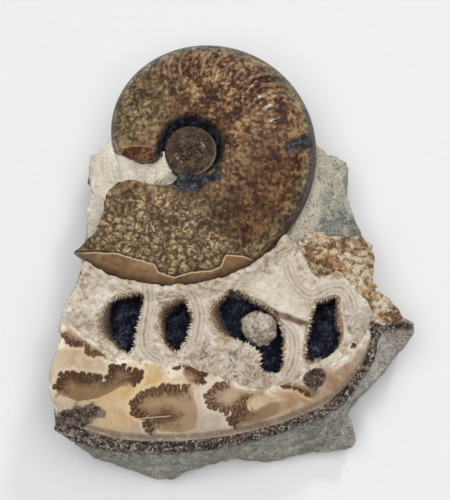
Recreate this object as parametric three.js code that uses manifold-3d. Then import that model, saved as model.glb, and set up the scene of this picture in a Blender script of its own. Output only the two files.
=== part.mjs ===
// An ammonite fossil lying on its back: the whole inner coil, an arc of the next whorl with its open
// chambers, and the calcite and sandstone that hold them. Millimetres, +Z up out of the exposed face.
// Every piece is a relief over an outline, and a piece keeps GAP to each neighbour that was cut first.
import * as THREE from "three";
import { LoftGeometry } from "three/addons/geometries/LoftGeometry.js";
import { mergeVertices } from "three/addons/utils/BufferGeometryUtils.js";
import Module from "manifold-3d";

const wasm = await Module();
wasm.setup();

const GAP = 0.35; // clearance between two pieces that touch
const MIDDLE = [1.35, -2.06]; // middle of the whole outline, moved to the origin
const PLATE_TOP = 14; // height of the sandstone plate under the fossils
const PLANE_OF_COIL = 34; // height of the plane that halves both whorls
const COIL_SEAT = 27; // height of the flat seat under the coil
const VENTER_BOTTOM = 20; // height of the lower edge of the broken venter
const RELIEF_STEP = 4; // spacing of the relief's height points

// Inner coil: a logarithmic spiral round POLE, with its sections fanned out from the umbilicus.
const POLE = [-14, 41];
const UMBILICUS = [-14.2, 35.6];
const SPIRAL = { radius: 29.8, growth: 0.1321, start: -0.244, end: 5.49 }; // radians, growth per radian
// How far the broken end reaches past SPIRAL.end, at shares of the way from the umbilicus to the outline.
const BROKEN_END = [[0, -0.5], [0.3, -0.45], [0.38, -0.06], [0.48, 0.18], [0.6, 0.15], [0.7, 0.04], [1, 0]];
const RIBS = { perTurn: 40, height: 0.9, share: 0.76, width: 0.13, middle: 2.1, spread: 0.9 };
const SEAM_RADIUS = 9.8; // where the last whorl meets the inner whorls
const SHOULDER_RADIUS = 12.5; // rim of the umbilicus
const HALF_THICKNESS = { start: 8, end: 14 }; // of the last whorl, from its first section to its last

// Outlines of the exposed face, anticlockwise, each starting at its lower left.
const VENTER_LINE = [
  [-62, -65], [-55, -66], [-48, -68.5], [-40, -70.5], [-30, -71.5], [-20, -71.5], [-10, -71],
  [0, -69.5], [10, -67.5], [20, -64.5], [30, -60.5], [36, -57.5], [41, -53], [45, -48.5], [48.5, -43.5],
  [51, -38], [52, -34], [51.5, -30],
];
const BROKEN_VENTER_LINE = [
  [-65, -67], [-56, -69.5], [-48, -72], [-40, -73.5], [-30, -74], [-20, -74], [-10, -73],
  [0, -71.5], [10, -69], [20, -66], [31, -62], [37, -59], [42, -54.5], [47, -49], [50.5, -44],
  [53, -38], [54, -33.5], [53.5, -29],
];
const WHORL_OUTLINE = [
  ...VENTER_LINE,
  [53, -26], [50, -21], [47, -18], [43, -14], [39, -11], [34, -13], [31, -13], [28, -7], [24, 0],
  [19, 6], [8, -4], [0, -8], [-10, -11], [-20, -12.5], [-32, -11], [-44, -7], [-51, -4], [-53.5, -7],
  [-54, -12], [-56, -18], [-59, -24], [-61, -32], [-60.5, -38], [-63, -45], [-64, -50], [-64, -55],
  [-62.5, -60],
];
const HONEY_OUTLINE = [
  [43, -16], [50, -22], [53, -28], [60, -27.5], [65.5, -26.5], [62, -22], [57, -18], [54, -14],
  [52.5, -10], [53, -5], [52.5, 0.5], [47, 2], [36, 3], [22, 4], [24, -4], [29, -12],
];
const BED_OUTLINE = [
  [-54, 3], [-55, -4], [-44, -14], [-24, -18], [-4, -16], [12, -8], [24, 6], [28, 24], [28, 38],
  [23, 52], [14, 62], [0, 70], [-14, 72], [-26, 67], [-34, 60], [-39, 51], [-44, 41],
  [-50, 34], [-51, 28], [-50, 20], [-52, 13],
];
const SHOULDER_OUTLINE = [
  [20, -8], [50, -14], [53, 0], [49.5, 7], [47, 14], [45, 20], [44.5, 26], [46, 33], [42, 36],
  [38, 38.5], [32, 42], [24, 44],
];
const LIP_OUTLINE = [
  [-57, -62], [-56, -69.5], [-52, -73], [-46, -76], [-40, -77], [-34, -80], [-28, -82.1], [-22, -82],
  [-15, -79.5], [-8, -77], [-3, -75], [4, -75], [16, -75.5], [24, -73.5], [31, -71.5], [43, -71.5],
  [46, -69], [45.5, -64], [43, -58], [50, -51], [57, -45], [61, -39], [65, -34], [67.7, -30],
  [66.5, -26], [52, -26], [30, -48], [-20, -60],
];
// Foot and top of the sandstone plate, point for point.
const PLATE_FOOT = [
  [-53, -66], [-50, -71.5], [-40, -74.5], [-28.5, -79.5], [-22, -78.5], [-8, -72.5], [5, -72.5],
  [20, -71.5], [35, -68], [43.5, -66], [43, -58], [46, -49.5], [55, -41], [61, -31], [57, -20],
  [50, -10], [48, 0], [44, 12], [41, 24], [41, 33], [32, 40], [26, 50], [14, 60], [0, 66], [-16, 66],
  [-28, 58], [-37, 46], [-46, 33], [-47, 20], [-49, 8], [-50, -4], [-52, -18], [-55, -32], [-56, -46],
  [-57, -58],
];
const PLATE_EDGE = [
  [-56.5, -67], [-52, -73], [-41, -77], [-28, -82.1], [-22, -82], [-8, -77], [4, -75], [20, -74.5],
  [36, -71.5], [46, -69], [43, -58], [50, -51], [60, -40], [67.7, -30], [61, -20], [54, -11],
  [52, 0], [47, 13], [44.5, 26], [45.5, 33], [34, 41.5], [27, 51], [15, 61], [0, 67.5], [-16, 67.5],
  [-29, 59], [-38, 47], [-50, 34], [-51, 20], [-52.5, 8], [-53.5, -4], [-56.5, -18], [-60, -32],
  [-62, -46], [-62, -58],
];
const FRAGMENT_OUTLINE = [
  [-53, -22], [-44, -22], [-44, -4], [-53, -2], [-56, -9], [-58.5, -15], [-58, -20],
];
const UPPER_FRAGMENT_OUTLINE = [[-52.5, 26], [-48, 25], [-47, 33], [-48.5, 37.5], [-50.5, 36], [-52, 32]];
// Mouth of each open chamber of the outer whorl, and how high its crystal floor lies.
const CHAMBERS = {
  a: {
    floor: 23,
    mouth: [
      [-45, -31], [-41, -38.5], [-37, -40.5], [-34, -39], [-31.5, -29], [-31, -22], [-34, -18.5],
      [-40, -18.5], [-44.5, -23],
    ],
  },
  b: {
    floor: 23,
    mouth: [
      [-25, -36], [-20.5, -40.5], [-16.5, -38], [-13, -29], [-13.5, -23], [-17.5, -20.5], [-22, -23.5],
      [-25.5, -29],
    ],
  },
  c: {
    floor: 22,
    mouth: [
      [-5.5, -26], [3, -35], [9.5, -39.5], [11.5, -47], [15, -49], [19.5, -46], [20, -38], [19, -31],
      [16, -24.8], [9, -21.2], [1.5, -19],
    ],
  },
  d: {
    floor: 23,
    mouth: [
      [28.5, -35], [29.5, -42], [34, -42], [39.5, -37], [39.5, -30], [38.5, -23.5], [35, -21.5],
      [31.5, -24],
    ],
  },
};
const CHAMBER_DRUSE_THICKNESS = 2;
const NODULE = { centre: [11, -30.5, 31], radii: [6.3, 6.1, 8.5] }; // stands on the floor of chamber c

// ---- Solids from three.js geometry ----

function solidOf(geometry) {
  const bare = new THREE.BufferGeometry().setAttribute("position", geometry.attributes.position);
  bare.setIndex(geometry.index);
  const { index, attributes } = mergeVertices(bare, 1e-4);
  const triVerts = new Uint32Array(index.array);
  return new wasm.Manifold(new wasm.Mesh({ numProp: 3, vertProperties: attributes.position.array, triVerts }));
}

function meshOf(solid, name, material) {
  const { vertProperties, triVerts } = solid.getMesh();
  const geometry = new THREE.BufferGeometry()
    .setAttribute("position", new THREE.BufferAttribute(vertProperties, 3))
    .setIndex(new THREE.BufferAttribute(triVerts, 1));
  geometry.computeVertexNormals();
  const mesh = new THREE.Mesh(geometry, material);
  mesh.name = name;
  return mesh;
}

// An outline moved outwards by a distance, along the mean normal of the two sides at each corner.
function grown(outline, distance) {
  const normal = ([x0, y0], [x1, y1]) => new THREE.Vector2(y1 - y0, x0 - x1).normalize();
  return outline.map((point, i) => {
    const before = outline[(i + outline.length - 1) % outline.length];
    const after = outline[(i + 1) % outline.length];
    const n = normal(before, point).add(normal(point, after)).normalize();
    return [point[0] + n.x * distance, point[1] + n.y * distance];
  });
}

function prism(outline, bottom, top) {
  const shape = new THREE.Shape(outline.map(([x, y]) => new THREE.Vector2(x, y)));
  const geometry = new THREE.ExtrudeGeometry(shape, { depth: top - bottom, bevelEnabled: false });
  return solidOf(geometry.translate(0, 0, bottom));
}

// The solid over an outline from a flat bottom up to a height that changes from place to place.
function relief(outline, bottom, height) {
  const box = new THREE.Box2().setFromPoints(outline.map(([x, y]) => new THREE.Vector2(x, y)));
  const size = box.getSize(new THREE.Vector2()).addScalar(2);
  const centre = box.getCenter(new THREE.Vector2());
  const cells = [size.x, size.y].map((side) => Math.ceil(side / RELIEF_STEP));
  const block = new THREE.BoxGeometry(size.x, size.y, 1, ...cells, 1).translate(centre.x, centre.y, 0);
  const position = block.attributes.position;
  for (let i = 0; i < position.count; i++) {
    const top = position.getZ(i) > 0;
    position.setZ(i, top ? height(position.getX(i), position.getY(i)) : bottom);
  }
  return prism(outline, bottom - 1, 99).intersect(solidOf(block));
}

// A solid through sections of equal length, each anticlockwise as seen from the last one.
function loft(sections) {
  const loops = sections.map((section) => section.map((point) => new THREE.Vector3(...point)));
  return solidOf(new LoftGeometry(loops, { capStart: true, capEnd: true }));
}

// ---- Shapes of this fossil ----

// A point of the coil's outline, at an angle that runs clockwise from -X.
function spiralPoint(angle, grow = 0) {
  const radius = SPIRAL.radius * Math.exp(SPIRAL.growth * angle) + grow;
  return [POLE[0] - radius * Math.cos(angle), POLE[1] + radius * Math.sin(angle)];
}

// Low ribs on the outer part of the flank, which fade towards both ends of the whorl.
function rib(angle, share) {
  const across = Math.exp(-(((share - RIBS.share) / RIBS.width) ** 2));
  const along = Math.exp(-(((angle - RIBS.middle) / RIBS.spread) ** 2));
  return RIBS.height * across * along * Math.cos(angle * RIBS.perTurn);
}

// Half the coil's thickness at a share of the way from the umbilicus to its outline.
function whorlHeight(angle, share) {
  const along = (angle - SPIRAL.start) / (SPIRAL.end - SPIRAL.start);
  const thickness = THREE.MathUtils.lerp(HALF_THICKNESS.start, HALF_THICKNESS.end, along);
  return thickness * Math.pow(1 - Math.pow(Math.max(0, share - 0.3) / 0.7, 2.6), 0.62) + rib(angle, share);
}

// How far past SPIRAL.end the broken end of the whorl reaches, at a share.
function brokenEnd(share) {
  const next = Math.max(1, BROKEN_END.findIndex(([s]) => s >= share));
  const [[s0, turn0], [s1, turn1]] = [BROKEN_END[next - 1], BROKEN_END[next]];
  return SPIRAL.end + THREE.MathUtils.mapLinear(share, s0, s1, turn0, turn1);
}

// The last whorl: sections fanned out from the umbilicus, with a flat seat on the calcite bed.
function lastWhorl(grow = 0) {
  const count = 128;
  const turn = grow / 6;
  const section = (along) => {
    const angleAt = (share) => THREE.MathUtils.lerp(SPIRAL.start - turn, brokenEnd(share) + turn, along);
    const place = (share, z) => {
      const end = spiralPoint(angleAt(share), grow);
      return [0, 1].map((i) => THREE.MathUtils.lerp(UMBILICUS[i], end[i], share)).concat(z);
    };
    const front = (share) => place(share, PLANE_OF_COIL + whorlHeight(angleAt(share), share) + grow);
    const reach = new THREE.Vector2(...spiralPoint(angleAt(0))).distanceTo(new THREE.Vector2(...UMBILICUS));
    const seam = (SEAM_RADIUS - 1 - grow) / reach;
    const shoulder = (SHOULDER_RADIUS - grow) / reach;
    return [
      ...[1, 0.97, 0.9, 0.83, 0.76, 0.69, 0.6, 0.48, shoulder].map(front),
      place(seam, PLANE_OF_COIL + 1),
      place(seam, COIL_SEAT - grow),
      place(0.5, COIL_SEAT - grow),
      place(0.88, COIL_SEAT - grow),
    ];
  };
  return loft(Array.from({ length: count + 1 }, (_, i) => section(i / count)));
}

// The inner whorls: a low dome with a dimple, in the middle of the coil.
function innerWhorls(grow = 0) {
  const r = SEAM_RADIUS + grow;
  const wall = [[0, COIL_SEAT - grow], [r, COIL_SEAT - grow], [r, 37]];
  const dome = [[0.8 * r, 39], [0.5 * r, 39.5], [0, 38 + grow]];
  const lathe = new THREE.LatheGeometry([...wall, ...dome].map(([x, y]) => new THREE.Vector2(x, y)), 32);
  return solidOf(lathe.rotateX(Math.PI / 2).translate(...UMBILICUS, 0));
}

const coil = (grow = 0) => lastWhorl(grow).add(innerWhorls(grow));

function distanceToLine(line, x, y) {
  const point = new THREE.Vector3(x, y, 0);
  const nearest = new THREE.Vector3();
  const sides = line.slice(1).map((end, i) => new THREE.Line3(
    new THREE.Vector3(...line[i], 0),
    new THREE.Vector3(...end, 0),
  ));
  return Math.min(...sides.map((side) => side.closestPointToPoint(point, true, nearest).distanceTo(point)));
}

// The flank of the outer whorl rounds over towards its broken venter.
const whorlTop = (x, y) => 31 + 11 * (1 - Math.exp(-distanceToLine(VENTER_LINE, x, y) / 9));
// The calcite falls away from the umbilicus, and the brown calcite towards the edge.
const bedTop = (x, y) => 36 - 0.4 * Math.max(0, Math.hypot(x - UMBILICUS[0], y - UMBILICUS[1]) - 9);
const honeyTop = (x, y) => 39 - 0.26 * Math.max(0, x - 24) + 0.04 * y;
const shoulderTop = (x, y) => 29 - 0.2 * Math.max(0, x - 30) - 0.03 * y;
// The lip falls steeply below the whorl, and gently at the right.
function lipTop(x, y) {
  const steepness = THREE.MathUtils.lerp(2.4, 0.75, THREE.MathUtils.smoothstep(x, 30, 52));
  return Math.max(3, 28 - steepness * distanceToLine(BROKEN_VENTER_LINE, x, y));
}

function plate() {
  const loop = (points, z) => points.map(([x, y]) => [x, y, z]);
  return loft([loop(PLATE_FOOT, 0), loop(PLATE_EDGE, 5), loop(PLATE_EDGE, PLATE_TOP)]);
}

function ellipsoid({ centre, radii }) {
  return solidOf(new THREE.IcosahedronGeometry(1, 4).scale(...radii).translate(...centre));
}

// ---- The pieces ----

const floorOf = PLATE_TOP + GAP;
const room = (outline, bottom = floorOf) => prism(grown(outline, GAP), bottom - GAP, 99);
const brokenVenterOutline = [...BROKEN_VENTER_LINE, ...VENTER_LINE.toReversed()];
const coilRoom = coil(GAP);

const pockets = Object.values(CHAMBERS)
  .map(({ mouth, floor }) => prism(mouth, floor - CHAMBER_DRUSE_THICKNESS - GAP, 99))
  .reduce((all, pocket) => all.add(pocket));
const outerWhorl = relief(WHORL_OUTLINE, floorOf, whorlTop).subtract(pockets).subtract(coilRoom);
const honey = relief(HONEY_OUTLINE, floorOf, honeyTop).subtract(room(WHORL_OUTLINE)).subtract(coilRoom);
const brokenVenter = relief(brokenVenterOutline, VENTER_BOTTOM, () => 29).subtract(room(WHORL_OUTLINE));
const fragment = relief(FRAGMENT_OUTLINE, floorOf, (x) => 22 + 0.3 * (x + 53)).subtract(room(WHORL_OUTLINE));
const upperFragment = relief(UPPER_FRAGMENT_OUTLINE, floorOf, (x) => 25 + 0.5 * (x + 50));
const bed = relief(BED_OUTLINE, floorOf, bedTop)
  .subtract(room(WHORL_OUTLINE))
  .subtract(room(FRAGMENT_OUTLINE))
  .subtract(room(UPPER_FRAGMENT_OUTLINE))
  .subtract(room(HONEY_OUTLINE))
  .subtract(coilRoom);
const sandstone = [
  relief(SHOULDER_OUTLINE, 5, shoulderTop),
  relief(LIP_OUTLINE, 1, lipTop).subtract(room(brokenVenterOutline, VENTER_BOTTOM)),
]
  .reduce((rock, raised) => rock.add(raised), plate())
  .subtract(room(WHORL_OUTLINE))
  .subtract(room(HONEY_OUTLINE))
  .subtract(room(BED_OUTLINE))
  .subtract(coilRoom);

const stone = (color, roughness) => new THREE.MeshStandardMaterial({ color, roughness, metalness: 0 });
const MATERIALS = {
  sandstone: stone(0x6f7568, 0.95),
  calcite: stone(0xd5c6ad, 0.8),
  shell: stone(0x6f5236, 0.35),
  flank: stone(0xb09068, 0.5),
  darkShell: stone(0x4a4038, 0.6),
  greyShell: stone(0x8a7c62, 0.7),
  darkDruse: stone(0x22222a, 0.4),
  honey: stone(0x9a7444, 0.6),
};

const fossil = new THREE.Group();
fossil.position.set(-MIDDLE[0], -MIDDLE[1], 0);
fossil.add(
  meshOf(sandstone, "sandstone_matrix", MATERIALS.sandstone),
  meshOf(bed, "calcite_bed", MATERIALS.calcite),
  meshOf(coil(), "inner_coil", MATERIALS.shell),
  meshOf(outerWhorl, "outer_whorl", MATERIALS.flank),
  meshOf(brokenVenter, "broken_venter", MATERIALS.darkShell),
  meshOf(honey, "honey_calcite", MATERIALS.honey),
  meshOf(fragment, "shell_fragment_lower", MATERIALS.greyShell),
  meshOf(upperFragment, "shell_fragment_upper", MATERIALS.greyShell),
  meshOf(ellipsoid(NODULE), "calcite_nodule", MATERIALS.calcite),
);
for (const [letter, { mouth, floor }] of Object.entries(CHAMBERS)) {
  const druse = prism(grown(mouth, -GAP), floor - CHAMBER_DRUSE_THICKNESS, floor);
  fossil.add(meshOf(druse, `chamber_druse_${letter}`, MATERIALS.darkDruse));
}

const part = new THREE.Group();
part.add(fossil);

export default part;
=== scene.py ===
import math

import bpy
import numpy as np
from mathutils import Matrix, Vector


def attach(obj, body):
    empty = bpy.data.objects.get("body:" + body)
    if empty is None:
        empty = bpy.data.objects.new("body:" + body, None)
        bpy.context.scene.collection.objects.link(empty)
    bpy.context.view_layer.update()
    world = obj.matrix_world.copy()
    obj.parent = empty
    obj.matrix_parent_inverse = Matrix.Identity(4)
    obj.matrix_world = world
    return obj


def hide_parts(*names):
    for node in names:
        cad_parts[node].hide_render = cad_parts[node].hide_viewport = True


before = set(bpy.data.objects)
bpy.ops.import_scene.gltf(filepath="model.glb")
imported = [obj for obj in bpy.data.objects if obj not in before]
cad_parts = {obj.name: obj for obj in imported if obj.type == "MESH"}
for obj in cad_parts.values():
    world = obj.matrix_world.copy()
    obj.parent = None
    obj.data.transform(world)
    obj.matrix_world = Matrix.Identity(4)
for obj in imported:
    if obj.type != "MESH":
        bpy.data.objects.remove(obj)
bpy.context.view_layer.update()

MM = 0.001
MIDDLE = (1.35, -2.06)  # middle of the plan
POLE = (-14.0, 41.0)  # pole of the coil's spiral
UMBILICUS = (-14.2, 35.6)
SPIRAL_RADIUS = 29.8
SPIRAL_GROWTH = 0.1321  # per radian
SPIRAL_START = -0.244
SPIRAL_END = 5.49
SWELLING = 0.034  # the spiral is a little wider on the right
SEAM_RADIUS = 9.8
COIL_PLANE = 34.0
BENCH = 14.0  # height of the sandstone under the fossils
FOOT = BENCH - 1.0  # the fossils reach this far down into it
WHORL_PLANE = 42.0
RIM = 41.2  # height of the rims of the chambers

# Markings are laid on the pieces along lines from the camera's place, and stay fixed to them.
TRACING_POINT = (-1.4, -150.5, 631.6)

VENTER_LINE = [
    (-62, -65), (-55, -66), (-48, -68.5), (-40, -70.5), (-30, -71.5), (-20, -71.5), (-10, -71),
    (0, -69.5), (10, -67.5), (20, -64.5), (30, -60.5), (36, -57.5), (41, -53), (45, -48.5),
    (48.5, -43.5), (51, -38), (52, -34), (51.5, -30),
]
BROKEN_VENTER_LINE = [
    (-65, -67), (-56, -69.5), (-48, -72), (-40, -73.5), (-30, -74), (-20, -74), (-10, -73),
    (0, -71.5), (10, -69), (20, -66), (31, -62), (37, -59), (42, -54.5), (47, -49), (50.5, -44),
    (53, -38), (54, -33.5), (56, -30), (62, -28.5), (66.5, -29),
]
WHORL_OUTLINE = VENTER_LINE + [
    (53, -26), (50, -21), (47, -18), (43, -14), (39, -11), (34, -13), (31, -13), (28, -7), (24, 0),
    (19, 6), (8, -4), (0, -8), (-10, -11), (-20, -12.5), (-32, -11), (-44, -7), (-51, -4), (-53.5, -7),
    (-54, -12), (-56, -18), (-59, -24), (-61, -32), (-60.5, -38), (-63, -45), (-64, -50), (-64, -55),
    (-62.5, -60),
]
FLANK_OUTLINE = VENTER_LINE + [
    (50, -31), (47, -36.5), (44, -36.5), (41, -42), (36, -44.5), (29, -47), (21, -51), (15, -52.5),
    (9, -53.5), (1, -51), (-5, -49), (-10, -47.5), (-16, -45), (-22, -46), (-29, -43.5), (-37, -43.5),
    (-40, -43.5), (-43, -41), (-47, -37.5), (-52, -35), (-55, -31), (-60.6, -30.5), (-60.8, -37),
    (-63.2, -45), (-64.2, -50), (-63.8, -55), (-62.2, -60),
]
CHAMBERS = {
    "a": {
        "core": [
            (-42.5, -23.5), (-39, -20.5), (-32, -19.5), (-31.5, -25), (-33, -31), (-35, -39.5),
            (-37.5, -40), (-41, -36.5), (-42.5, -31),
        ],
        "mouth": [
            (-49.5, -30), (-47, -26), (-43, -21.5), (-38, -19), (-31, -19), (-31, -25), (-32.5, -32),
            (-34.5, -41), (-38, -41), (-42.5, -38.5), (-47.5, -35.5),
        ],
        "floor": 23.5,
    },
    "b": {
        "core": [
            (-22.5, -27.5), (-20, -25), (-16.5, -22), (-15, -25), (-13.5, -28), (-15, -34),
            (-16.5, -38), (-19, -40), (-21.5, -37), (-22.5, -32),
        ],
        "mouth": [
            (-26.5, -28), (-25.5, -23), (-21.5, -20.5), (-15.5, -20), (-14, -24.5), (-12.5, -28),
            (-14, -34), (-16, -39), (-19.5, -41), (-24, -38.5), (-26, -33),
        ],
        "floor": 23.5,
    },
    "c": {
        "core": [
            (-3, -24.5), (-1, -21), (1.5, -18), (8.5, -22), (15, -26), (19, -33), (19.5, -41),
            (18.5, -46.5), (14.5, -48.5), (11.5, -46), (11, -40), (6, -37.5), (1, -33), (-1.5, -28),
        ],
        "mouth": [
            (-8, -24), (-2.5, -19.5), (1.5, -17.5), (9, -21), (16, -25.5), (20, -32), (20, -40),
            (19, -47), (14.5, -49), (11, -47), (10.5, -41.5), (4, -37.5), (-4, -36), (-8.5, -30),
        ],
        "floor": 22.5,
    },
    "d": {
        "core": [
            (31.5, -23), (35, -22), (39, -21), (38, -27), (38, -31), (40, -34), (37.5, -40),
            (32.5, -42.5), (28.5, -43), (28.5, -36), (30, -30),
        ],
        "mouth": [
            (30.5, -22.5), (32, -21), (39.5, -20), (40, -24.5), (41, -33.5), (39, -38.5), (32.5, -43.5),
            (27, -44.5), (27, -37), (28, -31.5), (29.5, -26),
        ],
        "floor": 23.5,
    },
}
SEPTA = [
    [(-29.5, -16.5), (-29, -24), (-30, -31), (-30.5, -37), (-28.5, -41.5), (-25, -44)],
    [(-14, -18.5), (-11.5, -23), (-10.5, -28), (-11, -33), (-12, -37)],
    [(11, -23.5), (16, -28), (20.5, -31.5), (23, -35), (23.5, -40), (22.5, -45.5), (20.5, -49.5)],
    [
        (21, -9), (23, -14.5), (26.5, -19), (30.5, -20.5), (35.5, -18), (40.5, -17.5), (43.5, -21),
        (44.5, -25),
    ],
]
BROWN_SEPTUM = [(8, -22.5), (12, -25), (16, -26.5), (21, -28.5), (25, -30), (28.5, -32), (27.5, -40)]
PALE_PATCH = [
    (4, -16), (12, -12.5), (18, -11.5), (22.5, -17.5), (27, -23), (30.5, -24.5), (28.5, -30),
    (21.5, -27), (14.5, -23.5), (7.5, -19.5),
]
NODULE_CENTRE = (10.8, -31.2, 35.2)
NODULE_RADIUS = 6.3

BED_OUTLINE = [
    (-54, 3), (-55, -4), (-44, -14), (-24, -18), (-4, -16), (12, -8), (24, 6), (28, 24), (28, 38),
    (23, 52), (14, 62), (0, 70), (-14, 72), (-26, 67), (-34, 60), (-39, 51), (-44, 41),
    (-50, 34), (-51, 28), (-50, 20), (-52, 13),
]
SHOULDER_OUTLINE = [
    (20, -8), (50, -14), (53, 0), (49.5, 7), (47, 14), (45, 20), (44.5, 26), (46, 33), (42, 36),
    (38, 38.5), (32, 42), (24, 44),
]
LIP_OUTLINE = [
    (-57, -62), (-56, -69.5), (-52, -73), (-46, -76), (-40, -77), (-34, -80), (-28, -82), (-22, -82),
    (-15, -79.5), (-8, -77), (-3, -75), (4, -75), (16, -75.5), (24, -73.5), (31, -71.5), (43, -71.5),
    (46, -69), (45.5, -64), (43, -58), (50, -51), (57, -45), (61, -39), (65, -34), (67.5, -30),
    (66.5, -26), (52, -26), (30, -48), (-20, -60),
]
PLATE_OUTLINE = [
    (-56, -66), (-52, -72), (-41, -76), (-28, -81), (-22, -81), (-8, -76), (4, -74), (20, -73.5),
    (36, -70.5), (45, -68), (42.5, -58), (49.5, -51), (59, -40), (66.5, -30), (60, -20), (53, -11),
    (51, 0), (46, 13), (43.5, 26), (44.5, 33), (33, 41), (26, 50.5), (14.5, 60.5), (0, 67), (-16, 67),
    (-28.5, 58.5), (-37.5, 46.5), (-49.5, 33.5), (-50, 20), (-51.5, 8), (-52.5, -4), (-55.5, -18),
    (-59, -32), (-61, -46), (-61, -58),
]
HONEY_OUTLINE = [
    (43, -16), (50, -22), (53, -28), (60, -28), (65.5, -27), (62, -22), (57, -18), (54, -14),
    (52.5, -10), (53, -5), (52.5, 0.5), (47, 2), (36, 3), (28, 3), (25, -2), (26, -8), (30, -13),
    (36, -14), (40, -13),
]
LOWER_FRAGMENT = [
    (-51, -22), (-48, -8), (-51, -4), (-54, -5), (-56.5, -9), (-58, -15), (-58, -20), (-55, -22),
]
UPPER_FRAGMENT = [(-52.5, 26), (-48, 25), (-47, 33), (-48.5, 37.5), (-50.5, 36), (-52, 32)]


# ---- Plane geometry ----

def smooth_line(points, closed=False, steps=6):
    """The points with rounded stretches between them."""
    p = np.array(points, float)
    ends = (p[-1:], p[:2]) if closed else (p[:1] * 2 - p[1:2], p[-1:] * 2 - p[-2:-1])
    p = np.concatenate([ends[0], p, ends[1]])
    t = np.arange(steps)[:, None] / steps
    rows = []
    for a, b, c, d in zip(p[:-3], p[1:-2], p[2:-1], p[3:]):
        rows.append(b + 0.5 * t * (c - a + t * (2 * a - 5 * b + 4 * c - d + t * (3 * (b - c) + d - a))))
    if not closed:
        rows.append(p[-2:-1])
    return np.concatenate(rows)


def line_distance(x, y, points, closed=False):
    """Distance from each place to a line through the points."""
    p = np.array(points, float)
    if closed:
        p = np.concatenate([p, p[:1]])
    best = np.full(np.shape(x), 1e9)
    for (ax, ay), (bx, by) in zip(p[:-1], p[1:]):
        dx, dy = bx - ax, by - ay
        t = np.clip(((x - ax) * dx + (y - ay) * dy) / (dx * dx + dy * dy + 1e-12), 0, 1)
        best = np.minimum(best, np.hypot(x - ax - t * dx, y - ay - t * dy))
    return best


def outline_distance(x, y, points):
    """Distance to an outline, less than zero inside it."""
    p = np.array(points, float)
    inner = np.zeros(np.shape(x), bool)
    for (ax, ay), (bx, by) in zip(p, np.roll(p, -1, axis=0)):
        if ay != by:
            inner ^= ((ay > y) != (by > y)) & (x < (bx - ax) * (y - ay) / (by - ay) + ax)
    return np.where(inner, -1, 1) * line_distance(x, y, p, closed=True)


def ramp(value, low, high):
    """0 below low, 1 above high, and smooth between."""
    t = np.clip((value - low) / (high - low), 0, 1)
    return t * t * (3 - 2 * t)


def traced(points, level):
    """Where each point of a surface shows on a level sheet at this height."""
    t = (TRACING_POINT[2] - level) / (TRACING_POINT[2] - points[:, 2])
    return [TRACING_POINT[i] + (points[:, i] - TRACING_POINT[i]) * t for i in (0, 1)]


def spiral_point(angle):
    """A point of the coil's outline, at an angle that runs clockwise from -X."""
    radius = SPIRAL_RADIUS * np.exp(SPIRAL_GROWTH * angle) * (1 + SWELLING * np.exp(-((angle - 2.8) ** 2)))
    return np.stack([POLE[0] - radius * np.cos(angle), POLE[1] + radius * np.sin(angle)], -1)


COIL_OUTLINE = spiral_point(np.linspace(SPIRAL_START, SPIRAL_END, 90)).tolist() + [UMBILICUS]


def spot(x, y, middle_x, middle_y, reach):
    """A soft round spot: 1 at its middle, and fading out over its reach."""
    return np.exp(-((x - middle_x) ** 2 + (y - middle_y) ** 2) / reach**2)


# ---- Noise ----

LATTICE = np.random.default_rng(11).uniform(-1, 1, (32, 32, 32)).astype(np.float32)


def bumps(points, size, seed=0):
    """Smooth bumps and hollows from about -1 to 1, each about as wide as size."""
    q = points / size + seed * 7.31
    cell = np.floor(q).astype(int)
    f = (q - cell).astype(np.float32)
    f = f * f * (3 - 2 * f)
    total = 0
    for corner in range(8):
        step = [(corner >> axis) & 1 for axis in range(3)]
        weight = 1
        for axis in range(3):
            weight = weight * (f[..., axis] if step[axis] else 1 - f[..., axis])
        i, j, k = ((cell[..., axis] + step[axis]) % 32 for axis in range(3))
        total = total + weight * LATTICE[i, j, k]
    return total


def rubble(points, size, seed=0, octaves=3):
    """Bumps of several sizes together."""
    return sum(bumps(points, size / 2**n, seed + n) / 2**n for n in range(octaves))


def plan_bumps(x, y, size, seed):
    """Bumps that are the same at every height."""
    return bumps(np.stack([x, y, 0 * x], -1), size, seed)


# ---- Solids from a field of distances ----

ROUGH_REACH = 4  # roughness is added this near the surface


def surface_net(field, low, step):
    """The closed surface where a field on a grid is zero: points and four-sided faces."""
    inner = field < 0
    cells = np.array(field.shape) - 1
    places, ids, quads = [], [], []
    for axis in range(3):
        first = tuple(slice(0, -1) if a == axis else slice(None) for a in range(3))
        second = tuple(slice(1, None) if a == axis else slice(None) for a in range(3))
        edge = np.argwhere(inner[first] != inner[second])
        after = edge.copy()
        after[:, axis] += 1
        a, b = field[tuple(edge.T)], field[tuple(after.T)]
        crossing = edge.astype(np.float64)
        crossing[:, axis] += a / (a - b)
        corners = []
        for back_u, back_v in ((1, 1), (0, 1), (0, 0), (1, 0)):
            corner = edge.copy()
            corner[:, (axis + 1) % 3] -= back_u
            corner[:, (axis + 2) % 3] -= back_v
            corners.append(np.ravel_multi_index(tuple(corner.T), cells))
        quad = np.stack(corners, 1)
        quad[a > 0] = quad[a > 0][:, ::-1]
        quads.append(quad)
        places += [crossing] * 4
        ids += corners
    used, index = np.unique(np.concatenate(ids), return_inverse=True)
    places = np.concatenate(places)
    count = np.bincount(index)
    points = np.stack([np.bincount(index, places[:, axis]) / count for axis in range(3)], 1)
    return low + points * step, np.searchsorted(used, np.concatenate(quads))


def grid_of(low, high, step):
    low, high, step = (np.array(v, float) for v in (low, high, step))
    axes = [np.arange(a, b + s, s) for a, b, s in zip(low, high, step)]
    return low, step, axes


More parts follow.
